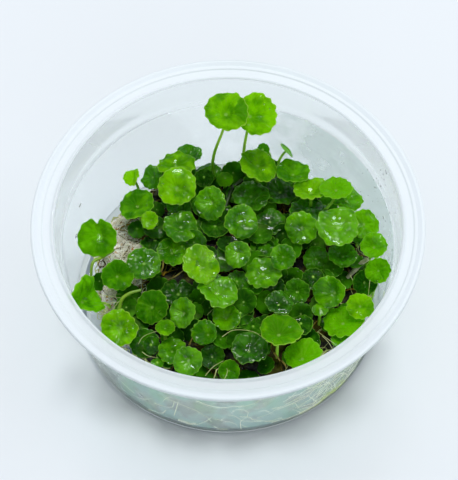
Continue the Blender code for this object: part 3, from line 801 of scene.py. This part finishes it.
# %% Mix the root block's material
def root_mat(name):
    material, tree = new_material(name)
    place = add(tree, "ShaderNodeTexCoord").outputs["Object"]
    split = add(tree, "ShaderNodeSeparateXYZ", {"Vector": place})
    coarse = add(tree, "ShaderNodeTexNoise", {"Vector": place, "Scale": 140.0, "Detail": 4.0})
    fine = add(tree, "ShaderNodeTexNoise", {"Vector": place, "Scale": 900.0, "Detail": 4.0})
    specks = add(tree, "ShaderNodeTexVoronoi", {"Vector": place, "Scale": 1300.0})

    def step(value, low, high):
        ramp = add(tree, "ShaderNodeMapRange", {"Value": value, "From Min": low, "From Max": high})
        ramp.interpolation_type = "SMOOTHSTEP"
        return ramp.outputs[0]

    def blend(share, first, second):
        mix = add(tree, "ShaderNodeMix", {"Factor": share}, data_type="RGBA")
        for socket, colour in (("A", first), ("B", second)):
            if isinstance(colour, str):
                mix.inputs[socket].default_value = linear(colour)
            else:
                tree.links.new(colour, mix.inputs[socket])
        return mix.outputs["Result"]

    bits = add(tree, "ShaderNodeTexNoise", {"Vector": place, "Scale": 700.0, "Detail": 2.0}).outputs["Fac"]
    silt = blend(step(fine.outputs["Fac"], 0.4, 0.75), "#040502", "#20200a")
    silt = blend(step(coarse.outputs["Fac"], 0.5, 0.62), silt, "#4a4408")
    algae = blend(step(bits, 0.3, 0.7), "#2c5234", "#7f9a74")
    algae = blend(step(coarse.outputs["Fac"], 0.56, 0.6), algae, "#56687c")
    silt = blend(step(split.outputs["Z"], 0.0235, 0.0195), silt, algae)
    wool = blend(step(fine.outputs["Fac"], 0.3, 0.55), "#c4bca0", "#faf8f0")
    wool = blend(step(bits, 0.57, 0.63), wool, "#b47a20")
    wool = blend(step(bits, 0.34, 0.29), wool, "#14120c")
    wool = blend(step(specks.outputs["Distance"], 0.28, 0.14), wool, "#14120e")
    edge = add(tree, "ShaderNodeMath", {0: coarse.outputs["Fac"], 1: 0.03, 2: split.outputs["X"]})
    edge.operation = "MULTIPLY_ADD"
    colour = blend(step(edge.outputs[0], -0.008, -0.02), silt, wool)
    height = add(tree, "ShaderNodeBump", {"Height": fine.outputs["Fac"], "Strength": 0.7, "Distance": 0.0006})
    mat = add(tree, "ShaderNodeBsdfPrincipled", {"Base Color": colour, "Normal": height.outputs[0]})
    mat.inputs["Roughness"].default_value = 0.5
    mat.inputs["Specular IOR Level"].default_value = 0.15
    add(tree, "ShaderNodeOutputMaterial", {"Surface": mat.outputs[0]})
    return material


root_matting = root_mat("root_mat_and_mineral_wool_wet")
fresh_root = plant_skin("root_skin_fresh", "#a8b060", "#d4da98", 200.0, 0.45)
old_root = plant_skin("root_skin_old", "#2c2408", "#947414", 150.0, 0.5, 0.2)
runner_skin = plant_skin("runner_skin_green", "#5f8a10", "#a4c832", 90.0, 0.4)

# %% [markdown]
# ## The block
#
# The fine block starts as a copy of the plain one, welded and subdivided, and
# is then pushed in and out by two cloud textures: lumps of 7 mm and tufts of
# 1.5 mm. Real roots press against each other like this, with pits between
# them. The displacement is small, so the block keeps its size.

# %% Shape the block
block = copy_of(frame["nodes"]["root_block"], "matted_root_block")
block.data.materials.clear()
focus(block)
bpy.ops.object.mode_set(mode="EDIT")
bpy.ops.mesh.select_all(action="SELECT")
bpy.ops.mesh.remove_doubles(threshold=0.00002)
bpy.ops.mesh.subdivide(number_cuts=3, smoothness=0.3)
bpy.ops.mesh.subdivide(number_cuts=1)
bpy.ops.mesh.normals_make_consistent(inside=False)
bpy.ops.object.mode_set(mode="OBJECT")
for name, size, depth in (("lumps", 7.0, 1.4), ("tufts", 1.5, 0.7)):
    clouds = bpy.data.textures.new(name, "CLOUDS")
    clouds.noise_scale = size * MM
    clouds.noise_depth = 2
    apply_modifier(block, "DISPLACE", texture=clouds, texture_coords="LOCAL", strength=depth * MM, mid_level=0.55)
block.data.shade_smooth()
block.data.materials.append(root_matting)
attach(block, "root")
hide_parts("root_block")
ground = BVHTree.FromObject(block, bpy.context.evaluated_depsgraph_get())
print("block:", len(block.data.polygons), "faces")


def ground_at(x, y):
    """The height of the block's top under a place, or of the tub's floor."""
    hit = ground.ray_cast(Vector((x, y, 0.1)), Vector((0, 0, -1)))[0]
    return hit.z if hit else FLOOR_TOP * MM


# %% [markdown]
# ## Roots
#
# Roots wander. Each one here is a walk: from a starting point it takes short
# steps along the block's surface and turns a little at each, the way a root
# grows round the grains in its way. The walks are the points of one curve
# object, and the curve's round section, thinner towards the tip, makes them
# solid. Old roots are brown and matted on top, fresh ones are pale and hang
# down the block's side, where the clear wall shows them. The fibres of the
# mineral wool at the left are drawn the same way, short and pale.

# %% Grow the roots
def tubes(name, routes, material, sides=1):
    """Turns routes, lists of points with radii, into one mesh of tubes."""
    curve = bpy.data.curves.new(name, "CURVE")
    curve.dimensions = "3D"
    curve.bevel_depth = 1.0
    curve.bevel_resolution = sides
    curve.use_fill_caps = True
    for route in routes:
        spline = curve.splines.new("POLY")
        spline.points.add(len(route) - 1)
        for point, (place, radius) in zip(spline.points, route):
            point.co = (*place, 1.0)
            point.radius = radius
    drawn = bpy.data.objects.new(name, curve)
    bpy.context.scene.collection.objects.link(drawn)
    focus(drawn)
    bpy.ops.object.convert(target="MESH")
    drawn.data.materials.append(material)
    drawn.data.shade_smooth()
    return drawn


def walk(start, heading, steps, stride, wander, thick, lift, inside=None):
    """A root's route over the block's surface."""
    place, route = start.copy(), []
    for number in range(steps):
        near, normal, _, _ = ground.find_nearest(place)
        place = near + normal * (lift * (0.6 + 0.4 * math.sin(1.7 * number)))
        if inside:
            place.z = max(place.z, (FLOOR_TOP + 0.5) * MM)
            limit = inner_wall(place.z / MM) * MM - thick - 0.0003
            reach = place.xy.length
            if reach > limit:
                place.xy *= limit / reach
        taper = 1.0 - 0.75 * number / steps
        route.append((place.copy(), thick * taper))
        heading = Matrix.Rotation(chance.gauss(0, wander), 3, normal) @ heading
        heading = (heading - normal * heading.dot(normal)).normalized()
        place = place + heading * stride
    return route


def turned(angle):
    return Vector((math.cos(angle), math.sin(angle), 0.0))


old_routes, fresh_routes = [], []
for _ in range(260):
    angle, reach = chance.uniform(0, 2 * math.pi), 40 * MM * math.sqrt(chance.random())
    start = turned(angle) * reach + Vector((0, 0, 0.026))
    heading = turned(chance.uniform(0, 2 * math.pi))
    thick = chance.uniform(0.1, 0.32) * MM
    old_routes.append(walk(start, heading, chance.randint(8, 22), 1.1 * MM, 0.4, thick, chance.uniform(0.1, 0.8) * MM))
for number in range(210):
    angle = chance.uniform(-2.6, 0.6) if number < 150 else chance.uniform(0.6, 3.6)
    start = turned(angle) * 42 * MM + Vector((0, 0, chance.uniform(0.004, 0.026)))
    heading = (turned(angle + chance.choice((-1.57, 1.57))) + Vector((0, 0, chance.uniform(-1.2, 0.6)))).normalized()
    thick = chance.uniform(0.12, 0.3) * MM
    lift = chance.uniform(0.3, 3.4) * MM
    fresh_routes.append(walk(start, heading, chance.randint(10, 24), 1.4 * MM, 0.35, thick, lift, inside=True))
old_roots = tubes("old_roots", old_routes, old_root)
fresh_roots = tubes("fresh_roots", fresh_routes, fresh_root)
wool_skin = plant_skin("mineral_wool_fibre", "#d4ccb0", "#fbf9f0", 300.0, 0.8, 0.2)
wool_routes = []
for _ in range(420):
    start = Vector((chance.uniform(-42, -24), chance.uniform(-24, 24), 27.0)) * MM
    heading = turned(chance.uniform(0, 2 * math.pi))
    wool_routes.append(walk(start, heading, 9, 0.8 * MM, 0.5, 0.12 * MM, chance.uniform(0.1, 0.8) * MM))
wool_fibres = tubes("wool_fibres", wool_routes, wool_skin)
for roots in (old_roots, fresh_roots, wool_fibres):
    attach(roots, "root")
    print(roots.name, len(roots.data.polygons), "faces")

# %% [markdown]
# ## Creeping stems
#
# Pennywort creeps by runners that root where they touch the ground. Two of
# them arch up far enough to be seen: an old black-green one at the back and a
# pale one with a dark side at the right. The route runs down the middle of the
# plain stem. Real runners thicken at the nodes, where a leaf stalk and a tuft
# of roots start.

# %% Replace the two runners
def smooth_route(points, count):
    """A Catmull-Rom route through the points."""
    ends = [points[0] * 2 - points[1], *points, points[-1] * 2 - points[-2]]
    route = []
    for index in range(count):
        t = index / (count - 1) * (len(points) - 1)
        leg = min(int(t), len(points) - 2)
        t -= leg
        a, b, c, d = ends[leg : leg + 4]
        route.append(
            0.5 * (2 * b + (c - a) * t + (2 * a - 5 * b + 4 * c - d) * t * t + (3 * b - a - 3 * c + d) * t * t * t)
        )
    return route


RUNNERS = {
    "creeping_stem_back": [(224, 214, 29.2), (228, 200, 30.5), (233, 188, 30.5), (242, 180, 28.2)],
    "creeping_stem_right": [(347, 278, 27.8), (355, 270, 29.5), (362, 263, 31.5), (368, 259, 33.0)],
}
dark_runner = plant_skin("runner_skin_old", "#10200a", "#2f4a14", 200.0, 0.35)
pale_runner = plant_skin("runner_skin_bleached", "#2a2a14", "#e2dcb4", 110.0, 0.4)
for name, seen in RUNNERS.items():
    route = smooth_route([point_seen((x, y), z * MM) for x, y, z in seen], 22)
    swell = [0.66 + 0.14 * max(0.0, math.cos(i * 2 * math.pi / 7)) ** 4 for i in range(22)]
    swell[0] *= 0.8
    swell[-1] *= 0.8
    runner = tubes("runner_" + name[14:], [[(p, r * MM) for p, r in zip(route, swell)]],
                   dark_runner if name.endswith("back") else pale_runner, sides=3)
    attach(runner, "root")
    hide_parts(name)

# %% [markdown]
# ## The small leaves between
#
# Under and between the main leaves there are many more, most of them small and
# in the shade. First come those that can be told apart: each is given by the
# pixel of its middle, the half-lengths of its oval, the slant of the oval's
# long axis and its height. A round blade seen as an oval is tilted by the
# angle whose cosine is the oval's short side over its long one.
#
# Then the ground is filled. Places are drawn by chance and kept when no other
# leaf is near, the way that a clump fills every patch of light it can find.
# These leaves are small on the picture, so their blades have few faces.

# %% Model simple blades and the small leaves
light_blades = []
for number, lobes in enumerate((9, 10, 11)):
    blade = draw_rings("light_blade_%d" % number, lobes)
    turn = 2 * math.pi / lobes
    bpy.ops.object.mode_set(mode="EDIT")
    pick(lambda p: p.xy.length > 0.95 and abs((math.atan2(p.y, p.x) / turn) % 1.0 - 0.5) > 0.4)
    bpy.ops.transform.resize(value=(0.92, 0.92, 1.0), center_override=(0, 0, 0))
    pick(lambda p: p.xy.length < 0.01)
    pull((0, 0, -0.07), 0.4)
    pick(lambda p: p.xy.length > 0.88)
    pull((0, 0, (0.14, -0.14, 0.05)[number]), 0.9)
    pick(lambda p: p.x > 0.8)
    pull((0, 0, 0.12), 0.8)
    bpy.ops.object.mode_set(mode="OBJECT")
    apply_modifier(blade, "SOLIDIFY", thickness=BLADE_THICKNESS, offset=-1.0, material_offset=1)
    blade.data.shade_smooth()
    bpy.context.scene.collection.objects.unlink(blade)
    light_blades.append(blade)
    blades["light_%d" % number] = blade


def facing_of(pixel, height, long_half, short_half, slant):
    """Middle, facing and radius of a round blade that shows as an oval."""
    middle = point_seen(pixel, height)
    to_eye = (eye - middle).normalized()
    turn = math.acos(min(short_half / long_half, 1.0))
    slant = math.radians(slant)
    lean = picture_up * math.cos(slant) - picture_right * math.sin(slant)
    if lean.z < 0:
        lean.negate()
    facing = (to_eye * math.cos(turn) + lean * math.sin(turn)).normalized()
    return middle, facing, long_half / FOCAL_PIXELS * (eye - middle).dot(sight)


# Rows with shaded_leaf take the darker tissue, whose greens are painted shade.
SEEN_LEAVES = [
    ((263, 150), 38, 7, 6.5, 90, "mature_leaf", "light_0"),
    ((286, 151), 42, 9, 2.6, -45, "mature_leaf", "light_1"),
    ((308, 214), 34, 20, 12, 0, "shaded_leaf", "domed"),
    ((204, 178), 33, 10, 9.5, 0, "shaded_leaf", "flat"),
    ((225, 179), 34, 8.5, 7.5, 0, "mature_leaf", "light_0"),
    ((137, 229), 31, 9.5, 9, 0, "shaded_leaf", "light_0"),
    ((182, 247), 32, 10.5, 9.5, 0, "mature_leaf", "saucer"),
    ((155, 243), 31, 15, 8, 0, "shaded_leaf", "wavy"),
    ((215, 228), 31.5, 14, 11, 0, "shaded_leaf", "domed"),
    ((265, 247), 31.5, 15, 11, 0, "shaded_leaf", "ruffled"),
    ((301, 325), 33, 12, 10, 10, "shaded_leaf", "wavy"),
    ((313, 278), 32, 11.5, 10.5, 0, "shaded_leaf", "saucer"),
    ((366, 283), 33, 14, 12, 90, "shaded_leaf", "domed"),
    ((320, 309), 35, 8.5, 6.5, 0, "mature_leaf", "light_0"),
    ((341, 340), 33, 10, 8, 20, "mature_leaf", "light_1"),
    ((157, 363), 30.5, 6.5, 5, 0, "mature_leaf", "light_2"),
    ((151, 345), 30.5, 9, 8.5, 90, "shaded_leaf", "light_0"),
    ((180, 207), 32, 13, 10, 0, "shaded_leaf", "flat"),
    ((240, 315), 31, 14, 11, 0, "shaded_leaf", "wavy"),
    ((253, 328), 31, 12, 10, 0, "shaded_leaf", "ruffled"),
    ((237, 283), 31, 13, 11, 0, "shaded_leaf", "domed"),
]


def is_free(middle, radius, taken, share):
    return all((middle - other).length > share * (radius + size) for other, size in taken)


small_leaves = {"mature": [], "shaded": [], "filling": []}
taken = [(middle, radius) for middle, _, radius in measured]
for number, (pixel, height, long_half, short_half, slant, slot, kind) in enumerate(SEEN_LEAVES):
    middle, facing, radius = facing_of(pixel, height * MM, long_half, short_half, slant)
    heart = middle - facing * (0.03 * radius)
    root_x, root_y = heart.x - 2 * MM * facing.x, heart.y - 3 * MM * facing.y
    foot = Vector((root_x, root_y, ground_at(root_x, root_y) - 0.3 * MM))
    small_leaves[slot[:-5]].append(
        make_leaf("small_leaf", kind, slot, middle, heart, facing, radius, foot, GOLDEN_TURN * number,
                  tone=chance.uniform(-0.15, 0.1), wet=chance.choice((0.35, 0.45, 0.55)))
    )
    taken.append((middle, radius))
filled = 0
for _ in range(2500):
    angle, reach = chance.uniform(0, 2 * math.pi), 43 * MM * math.sqrt(chance.random())
    place = turned(angle) * reach
    low = ground_at(place.x, place.y)
    if low < 0.018 or filled > 110:
        continue
    radius = chance.uniform(2.6, 4.6) * MM
    middle = Vector((place.x, place.y, low + chance.uniform(1.4, 4.5) * MM))
    if middle.x < -24 * MM and middle.y > -8 * MM or not is_free(middle, radius, taken, 0.62):
        continue
    facing = Vector((chance.gauss(0, 0.35), chance.gauss(-0.3, 0.35), 1.0)).normalized()
    heart = middle - facing * (0.03 * radius)
    foot = Vector((place.x, place.y, low - 0.3 * MM))
    # The filling leaves take the shaded tissue, whose darker greens are painted shade.
    small_leaves["filling"].append(
        make_leaf("small_leaf", "light_%d" % chance.randrange(3), "shaded_leaf", middle, heart, facing, radius, foot,
                  chance.uniform(0, 6.28), tone=chance.uniform(-0.25, 0.15), wet=chance.choice((0.3, 0.4, 0.5)))
    )
    taken.append((middle, radius))
    filled += 1
leaf_groups = []
for kind, leaves in small_leaves.items():
    group = join(leaves, "small_leaves_" + kind)
    leaf_groups.append(group)
    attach(group, "root")
    print(group.name, len(leaves), "leaves,", len(group.data.polygons), "faces")

# %% [markdown]
# ## What presses against the wall
#
# The gap between the block and the wall is full of roots, bits of runner and a
# few leaves that lie flat against the plastic. Through the front wall they are
# seen as pale threads and green patches. The pressed roots sit half in the
# wall's inner side, so they show crisply in front of the fog. A place on the wall is found from a
# pixel by meeting its line of sight with the cone of the inner wall: the near
# side for what is seen from outside, the far side for what is seen from inside.

# %% Put roots, runners and leaves against the wall
def on_wall(pixel, inset, far=False):
    """The point inside the wall, inset in metres, that shows at a pixel."""
    ray = line_of_sight(pixel)
    reach = [0.36 + 0.0005 * step for step in range(320)]
    if far:
        reach.reverse()
    best = None
    for length in reach:
        place = eye + ray * length
        if 2.2 * MM < place.z < 46 * MM:
            limit = inner_wall(place.z / MM) * MM - inset
            gap = place.xy.length - limit
            if best is None or gap < best[0]:
                best = (gap, place.copy())
            if gap <= 0:
                break
    gap, place = best
    keep_inside([place], inset)
    return place


def keep_inside(points, inset):
    """Presses points that lie beyond the wall or the floor back against it."""
    for point in points:
        point.z = max(point.z, 2.6 * MM)
        limit = inner_wall(point.z / MM) * MM - inset
        if point.xy.length > limit:
            point.xy = point.xy.normalized() * limit


WALL_THREADS = [
    ([(133, 395), (143, 399), (153, 398)], 0.22), ([(147, 411), (161, 413), (166, 410)], 0.3),
    ([(178, 402), (176, 409), (174, 415)], 0.3), ([(221, 420), (227, 415), (234, 411)], 0.25),
    ([(241, 431), (241, 420), (254, 414)], 0.25), ([(254, 414), (262, 411), (269, 412), (284, 420)], 0.2),
    ([(271, 409), (281, 410), (290, 408)], 0.2), ([(290, 408), (299, 412), (302, 416), (287, 421)], 0.25),
    ([(312, 406), (317, 398), (320, 390)], 0.22), ([(308, 409), (316, 398), (319, 391)], 0.18),
    ([(318, 402), (325, 392), (329, 384)], 0.2), ([(330, 392), (338, 381), (343, 373)], 0.2),
    ([(305, 414), (312, 409), (318, 406)], 0.22), ([(344, 384), (352, 378), (353, 374)], 0.22),
    ([(196, 425), (206, 421), (215, 414)], 0.2), ([(160, 404), (166, 398), (171, 397)], 0.15),
    ([(263, 404), (275, 398), (284, 399)], 0.15), ([(326, 376), (333, 382), (336, 390)], 0.18),
    ([(178, 419), (184, 421), (190, 423), (196, 423)], 0.8), ([(283, 402), (290, 398), (296, 392)], 0.2),
    ([(338, 387), (346, 383), (352, 376), (358, 370)], 0.4), ([(322, 411), (330, 402), (337, 395)], 0.2),
    ([(118, 378), (126, 386), (134, 393)], 0.18), ([(240, 414), (252, 409), (266, 408)], 0.16),
]
pressed_root = plant_skin("root_skin_pressed_on_wall", "#e4e8cc", "#fafcee", 200.0, 0.4)
wall_threads = []
for pixels, thick in WALL_THREADS:
    route = smooth_route([on_wall(pixel, 0.2 * thick * MM) for pixel in pixels], 12)
    wall_threads.append([(p, 0.7 * thick * MM) for p in route])
for number in range(64):
    angle = chance.uniform(-1.25, -0.4) if number < 50 else chance.uniform(-2.3, -1.2)
    height, heading = chance.uniform(3, 28), chance.uniform(-0.7, 0.7)
    thick, route = chance.uniform(0.07, 0.14) * MM, []
    for _ in range(chance.randint(10, 22)):
        height = min(max(height + math.sin(heading), 2.8), 33.0)
        angle += math.cos(heading) / inner_wall(height)
        heading += chance.gauss(0, 0.25)
        route.append((turned(angle) * inner_wall(height) * MM + Vector((0, 0, height * MM)), thick))
    wall_threads.append(route)
threads = tubes("wall_threads", wall_threads, pressed_root)
runner_cream = plant_skin("runner_skin_cream", "#c8da80", "#f2f4c4", 150.0, 0.4)
pale_route = smooth_route([on_wall(p, 0.3 * MM) for p in ((301, 416), (317, 404), (327, 394), (337, 387), (345, 381))], 24)
wall_runner = tubes("wall_runner", [[(p, (0.6 + 0.25 * (i in (13, 14, 15))) * MM) for i, p in enumerate(pale_route)]], runner_cream)
for piece in (threads, wall_runner):
    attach(piece, "root")

WALL_LEAVES = [
    ((160, 392), 3.4), ((214, 424), 2.6), ((205, 406), 3.6), ((246, 402), 3.4), ((291, 410), 3.2),
    ((322, 388), 3.0), ((346, 371), 3.4), ((272, 400), 3.0), ((150, 402), 2.6), ((360, 362), 3.0), ((128, 385), 3.2),
]
pressed = []
for number, (pixel, size) in enumerate(WALL_LEAVES):
    middle = on_wall(pixel, 1.6 * MM)
    outward = Vector((middle.x, middle.y, 0)).normalized()
    facing = (outward + Vector((0, 0, chance.uniform(0.05, 0.5)))).normalized()
    heart = middle - facing * (0.03 * size * MM)
    foot = ground.find_nearest(middle - Vector((0, 0, 3 * MM)))[0]
    pressed.append(
        make_leaf("wall_leaf", "light_%d" % (number % 3), "mature_leaf", middle, heart, facing, size * MM, foot,
                  chance.uniform(0, 6.28), tone=0.1, wet=0.4)
    )
wall_leaves = join(pressed, "wall_leaves")
keep_inside([vertex.co for vertex in wall_leaves.data.vertices], 0.3 * MM)
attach(wall_leaves, "root")

# %% [markdown]
# ## Threads and stalks among the leaves
#
# A few single threads and stalks catch the eye: a stout yellow-green stalk at
# the left, pale roots that hang over leaves, and some brown scraps. They are
# drawn as tubes through the pixels where they show.

# %% Lay the single threads
SEEN_THREADS = {
    "stout_stalk": (
        runner_skin, 0.62,
        [
            [(119, 309, 30), (122, 299, 32), (130, 293, 33), (141, 290, 33)],
            [(113, 250, 30), (102, 257, 33), (93, 262, 34), (91, 274, 32), (91, 292, 26)],
        ],
    ),
    "pale_threads": (
        fresh_root, 0.09,
        [
            [(350, 275, 31), (354, 283, 31), (357, 292, 30)], [(370, 280, 38), (369, 289, 36), (368, 298, 34)],
            [(222, 337, 35), (231, 331, 36), (242, 330, 36), (256, 333, 36), (268, 343, 36)],
            [(205, 376, 34), (213, 367, 35), (223, 361, 35)], [(138, 344, 30), (144, 336, 31), (160, 330, 33)],
            [(322, 336, 33), (328, 342, 33), (333, 350, 33)], [(318, 332, 33), (326, 338, 34), (336, 345, 33)],
            [(103, 305, 30), (110, 303, 31), (118, 302, 31)], [(111, 296, 30), (116, 294, 31), (121, 294, 31)],
            [(112, 309, 30), (115, 306, 31), (119, 301, 31)], [(97, 294, 30), (108, 296, 31), (121, 298, 31)],
            [(207, 315, 32), (211, 311, 33), (215, 307, 32)], [(116, 290, 30), (118, 285, 31), (121, 281, 31)],
            [(222, 384, 31), (227, 373, 32), (226, 367, 31)], [(142, 352, 30), (148, 356, 30), (158, 358, 30)],
        ],
    ),
    "brown_scraps": (
        plant_skin("dead_leaf_stalk", "#3c3a06", "#8a7a20", 200.0, 0.6), 0.3,
        [
            [(189, 345, 31), (191, 341, 32), (193, 336, 32)], [(274, 353, 34), (277, 357, 34), (280, 361, 33)],
            [(282, 361, 33), (285, 365, 33), (286, 368, 32)], [(368, 258, 33), (364, 256, 33), (361, 256, 32)],
            [(161, 272, 33), (163, 266, 34), (163, 260, 34)], [(168, 280, 32), (176, 276, 33), (184, 270, 32)],
        ],
    ),
}
for name, (material, thick, drawn) in SEEN_THREADS.items():
    routes = []
    for points in drawn:
        route = smooth_route([point_seen((x, y), z * MM) for x, y, z in points], 14)
        routes.append([(p, thick * MM * (1 - 0.35 * i / 13)) for i, p in enumerate(route)])
    piece = tubes(name, routes, material, sides=2)
    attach(piece, "root")

# %% [markdown]
# ## Water on the leaves and on the wall
#
# Just watered, the leaves carry flat puddles and small beads. A puddle is held
# by the leaf's rim and veins, so its outline is uneven, and its top is nearly
# level whatever the leaf does below it. That is why a puddle flashes white: it
# mirrors the softbox. A bead is nearly a half ball, and one on plastic is
# flatter. Water has IOR 1.33 and no colour.
#
# A bead is made once, from a ball that is cut in half and flattened. Pulling its
# sides about gives three puddles. The puddles are laid where the flashes are
# seen: a ray from the camera finds the leaf, and the puddle's top is turned
# most of the way from the leaf's own slope to the slope that mirrors the lamp.

# %% Model beads and puddles
water, tree = new_material("water_drops")
clear = add(tree, "ShaderNodeBsdfPrincipled", {"IOR": 1.33, "Roughness": 0.02, "Transmission Weight": 1.0})
clear.inputs["Specular IOR Level"].default_value = 1.0
let_by = add(tree, "ShaderNodeBsdfTransparent")
shadow = add(tree, "ShaderNodeLightPath").outputs["Is Shadow Ray"]
drop_mix = add(tree, "ShaderNodeMixShader", {0: shadow, 1: clear.outputs[0], 2: let_by.outputs[0]})
add(tree, "ShaderNodeOutputMaterial", {"Surface": drop_mix.outputs[0]})

bpy.ops.mesh.primitive_uv_sphere_add(segments=14, ring_count=10, radius=1.0)
bead = bpy.context.object
bead.name = "bead"
bpy.ops.object.mode_set(mode="EDIT")
bpy.ops.mesh.select_all(action="SELECT")
bpy.ops.mesh.bisect(plane_co=(0, 0, -0.1), plane_no=(0, 0, 1), clear_inner=True, use_fill=True)
bpy.ops.object.mode_set(mode="OBJECT")
bead.data.shade_smooth()
puddles = []
for number in range(3):
    puddle = copy_of(bead, "puddle_%d" % number)
    focus(puddle)
    bpy.ops.object.mode_set(mode="EDIT")
    for side in range(5):
        outward = turned(chance.uniform(0, 6.28))
        pick(lambda p: p.xy.angle(outward.xy, 3.0) < 0.3 and p.xy.length > 0.8)
        pull(outward * chance.uniform(-0.45, 0.3), 0.7)
    bpy.ops.object.mode_set(mode="OBJECT")
    bpy.context.scene.collection.objects.unlink(puddle)
    puddles.append(puddle)
bpy.context.scene.collection.objects.unlink(bead)
print("bead and puddles:", len(bead.data.polygons), "faces each")


def lay(shape, place, up, along, long_half, short_half, tall):
    """A copied drop at a place, its long side along a direction."""
    drop = copy_of(shape, "drop")
    side = (along - up * along.dot(up)).normalized()
    axes = Matrix((side * long_half, up.cross(side) * short_half, up * tall)).transposed().to_4x4()
    drop.data.transform(Matrix.Translation(place) @ axes)
    return drop


# %% Lay the water on the leaves
view = bpy.context.evaluated_depsgraph_get()
leaf_trees = [BVHTree.FromObject(leaf, view) for leaf in main_leaves + leaf_groups]


def on_leaf(pixel):
    """The point and the slope of the first leaf that shows at a pixel."""
    hits = [tree.ray_cast(eye, line_of_sight(pixel)) for tree in leaf_trees]
    hits = [hit for hit in hits if hit[0]]
    return min(hits, key=lambda hit: hit[3])[:2] if hits else None


def mirror_slope(place):
    """The way up of a surface that mirrors the top lamp into the camera."""
    return ((eye - place).normalized() + (top_lamp.location - place).normalized()).normalized()


PUDDLES = [
    (150, 258, 5, 3, 60), (153, 266, 4, 2.5, 80), (146, 273, 5, 2.5, 10), (139, 262, 4, 2, 40), (135, 255, 3, 1.5, 0),
    (208, 256, 6, 3.5, 10), (215, 275, 4, 2.5, 0), (196, 262, 4, 2, -60), (225, 297, 2.5, 1.5, 0), (215, 293, 3, 1.5, 0),
    (208, 288, 2, 1, 0), (176, 213, 6, 1.5, 0), (186, 222, 3, 2, 0), (178, 233, 4, 1.5, -20), (200, 211, 3, 1.5, -30),
    (213, 203, 4, 2, 0), (207, 197, 3, 1.5, 0), (236, 217, 4, 1.8, -80), (241, 213, 4, 1.5, 0), (245, 218, 3.5, 1.5, 90),
    (250, 220, 3, 2, -60), (240, 221, 3, 1.3, 0), (235, 244, 6, 2.5, -75), (241, 250, 3, 1.5, -45),
    (296, 227, 5, 1.8, -20), (304, 228, 4.5, 1.8, 20), (305, 238, 3, 2, 0), (298, 240, 3, 1.5, 60),
    (338, 222, 9, 5, 0), (328, 236, 5, 1.8, -50), (335, 241, 4, 1.5, -30), (262, 268, 4, 2, 0), (257, 274, 3.5, 2, 80),
    (266, 278, 3, 1.5, 30), (238, 254, 4, 2, 0), (243, 258, 2.5, 1.3, 0), (281, 311, 6, 2, 10), (275, 303, 3, 1.5, 0),
    (297, 292, 4, 2, 30), (291, 297, 3, 1.5, 0), (311, 280, 5, 1.5, 90), (315, 274, 4, 2.5, 0), (243, 350, 4, 1.5, 0),
    (256, 358, 6, 1.3, 5), (248, 345, 3, 1.5, 0), (300, 320, 3.5, 1.2, 0), (186, 356, 2.5, 1.5, 0),
    (193, 367, 3, 1.5, -30), (174, 346, 2, 1.3, 0), (113, 320, 2, 1.3, 0), (127, 330, 4, 1.2, 90), (133, 325, 2.5, 1.2, 90),
    (178, 312, 5, 3, 80), (103, 236, 6, 4, 60), (83, 298, 3, 1.5, 0), (270, 228, 2.5, 1.2, 0), (267, 218, 2, 1, 0),
    (258, 313, 4.5, 3.5, 90), (174, 162, 5, 2, 0), (177, 171, 4, 2, 10), (262, 190, 3, 1.5, 0), (310, 190, 3, 1.5, 20),
]
leaf_drops = []
for number, (x, y, long_half, short_half, slant) in enumerate(PUDDLES):
    found = on_leaf((x, y))
    if not found:
        continue
    place, normal = found
    up = (normal + mirror_slope(place) * 2.5).normalized()
    slant = math.radians(slant)
    along = picture_right * math.cos(slant) + picture_up * math.sin(slant)
    scale = 1.45 * (eye - place).length / FOCAL_PIXELS
    sizes = long_half * scale, short_half * scale, 0.09 * short_half * scale
    leaf_drops.append(lay(puddles[number % 3], place + up * 0.5 * sizes[2], up, along, *sizes))
for _ in range(420):
    found = on_leaf((chance.uniform(85, 390), chance.uniform(95, 378)))
    if found and found[1].z > 0.5:
        size = chance.uniform(0.14, 0.42) * MM
        leaf_drops.append(lay(bead, found[0], found[1], picture_right, size, size * chance.uniform(0.7, 1.0), size * 0.55))
leaf_water = join(leaf_drops, "leaf_water")
leaf_water.data.materials.append(water)
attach(leaf_water, "root")
print("water on leaves:", len(leaf_drops), "drops,", len(leaf_water.data.polygons), "faces")

# %% Scatter beads on the wall
wall_drops = []
for _ in range(80):
    place = on_wall((chance.gauss(378, 12), chance.uniform(160, 265)), 0.0, far=True)
    if place.x > 25 * MM:
        inward = Vector((-place.x, -place.y, 0)).normalized()
        size = chance.uniform(0.1, 0.3) * MM
        wall_drops.append(lay(bead, place + inward * 0.03 * MM, inward, Vector((0, 0, 1)), size * 1.3, size, size * 0.5))
for pixel in ((235, 402), (255, 414), (258, 419), (80, 205), (76, 236)):
    place = on_wall(pixel, 0.0, far=pixel[0] < 100)
    inward = Vector((-place.x, -place.y, 0)).normalized()
    sizes = 0.5 * MM, 0.8 * MM, 0.3 * MM
    wall_drops.append(lay(bead, place + inward * 0.03 * MM, inward, Vector((0, 0, 1)), *sizes))
drops = join(wall_drops, "wall_drops")
drops.data.materials.append(water)
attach(drops, "root")
print("wall drops:", len(wall_drops))
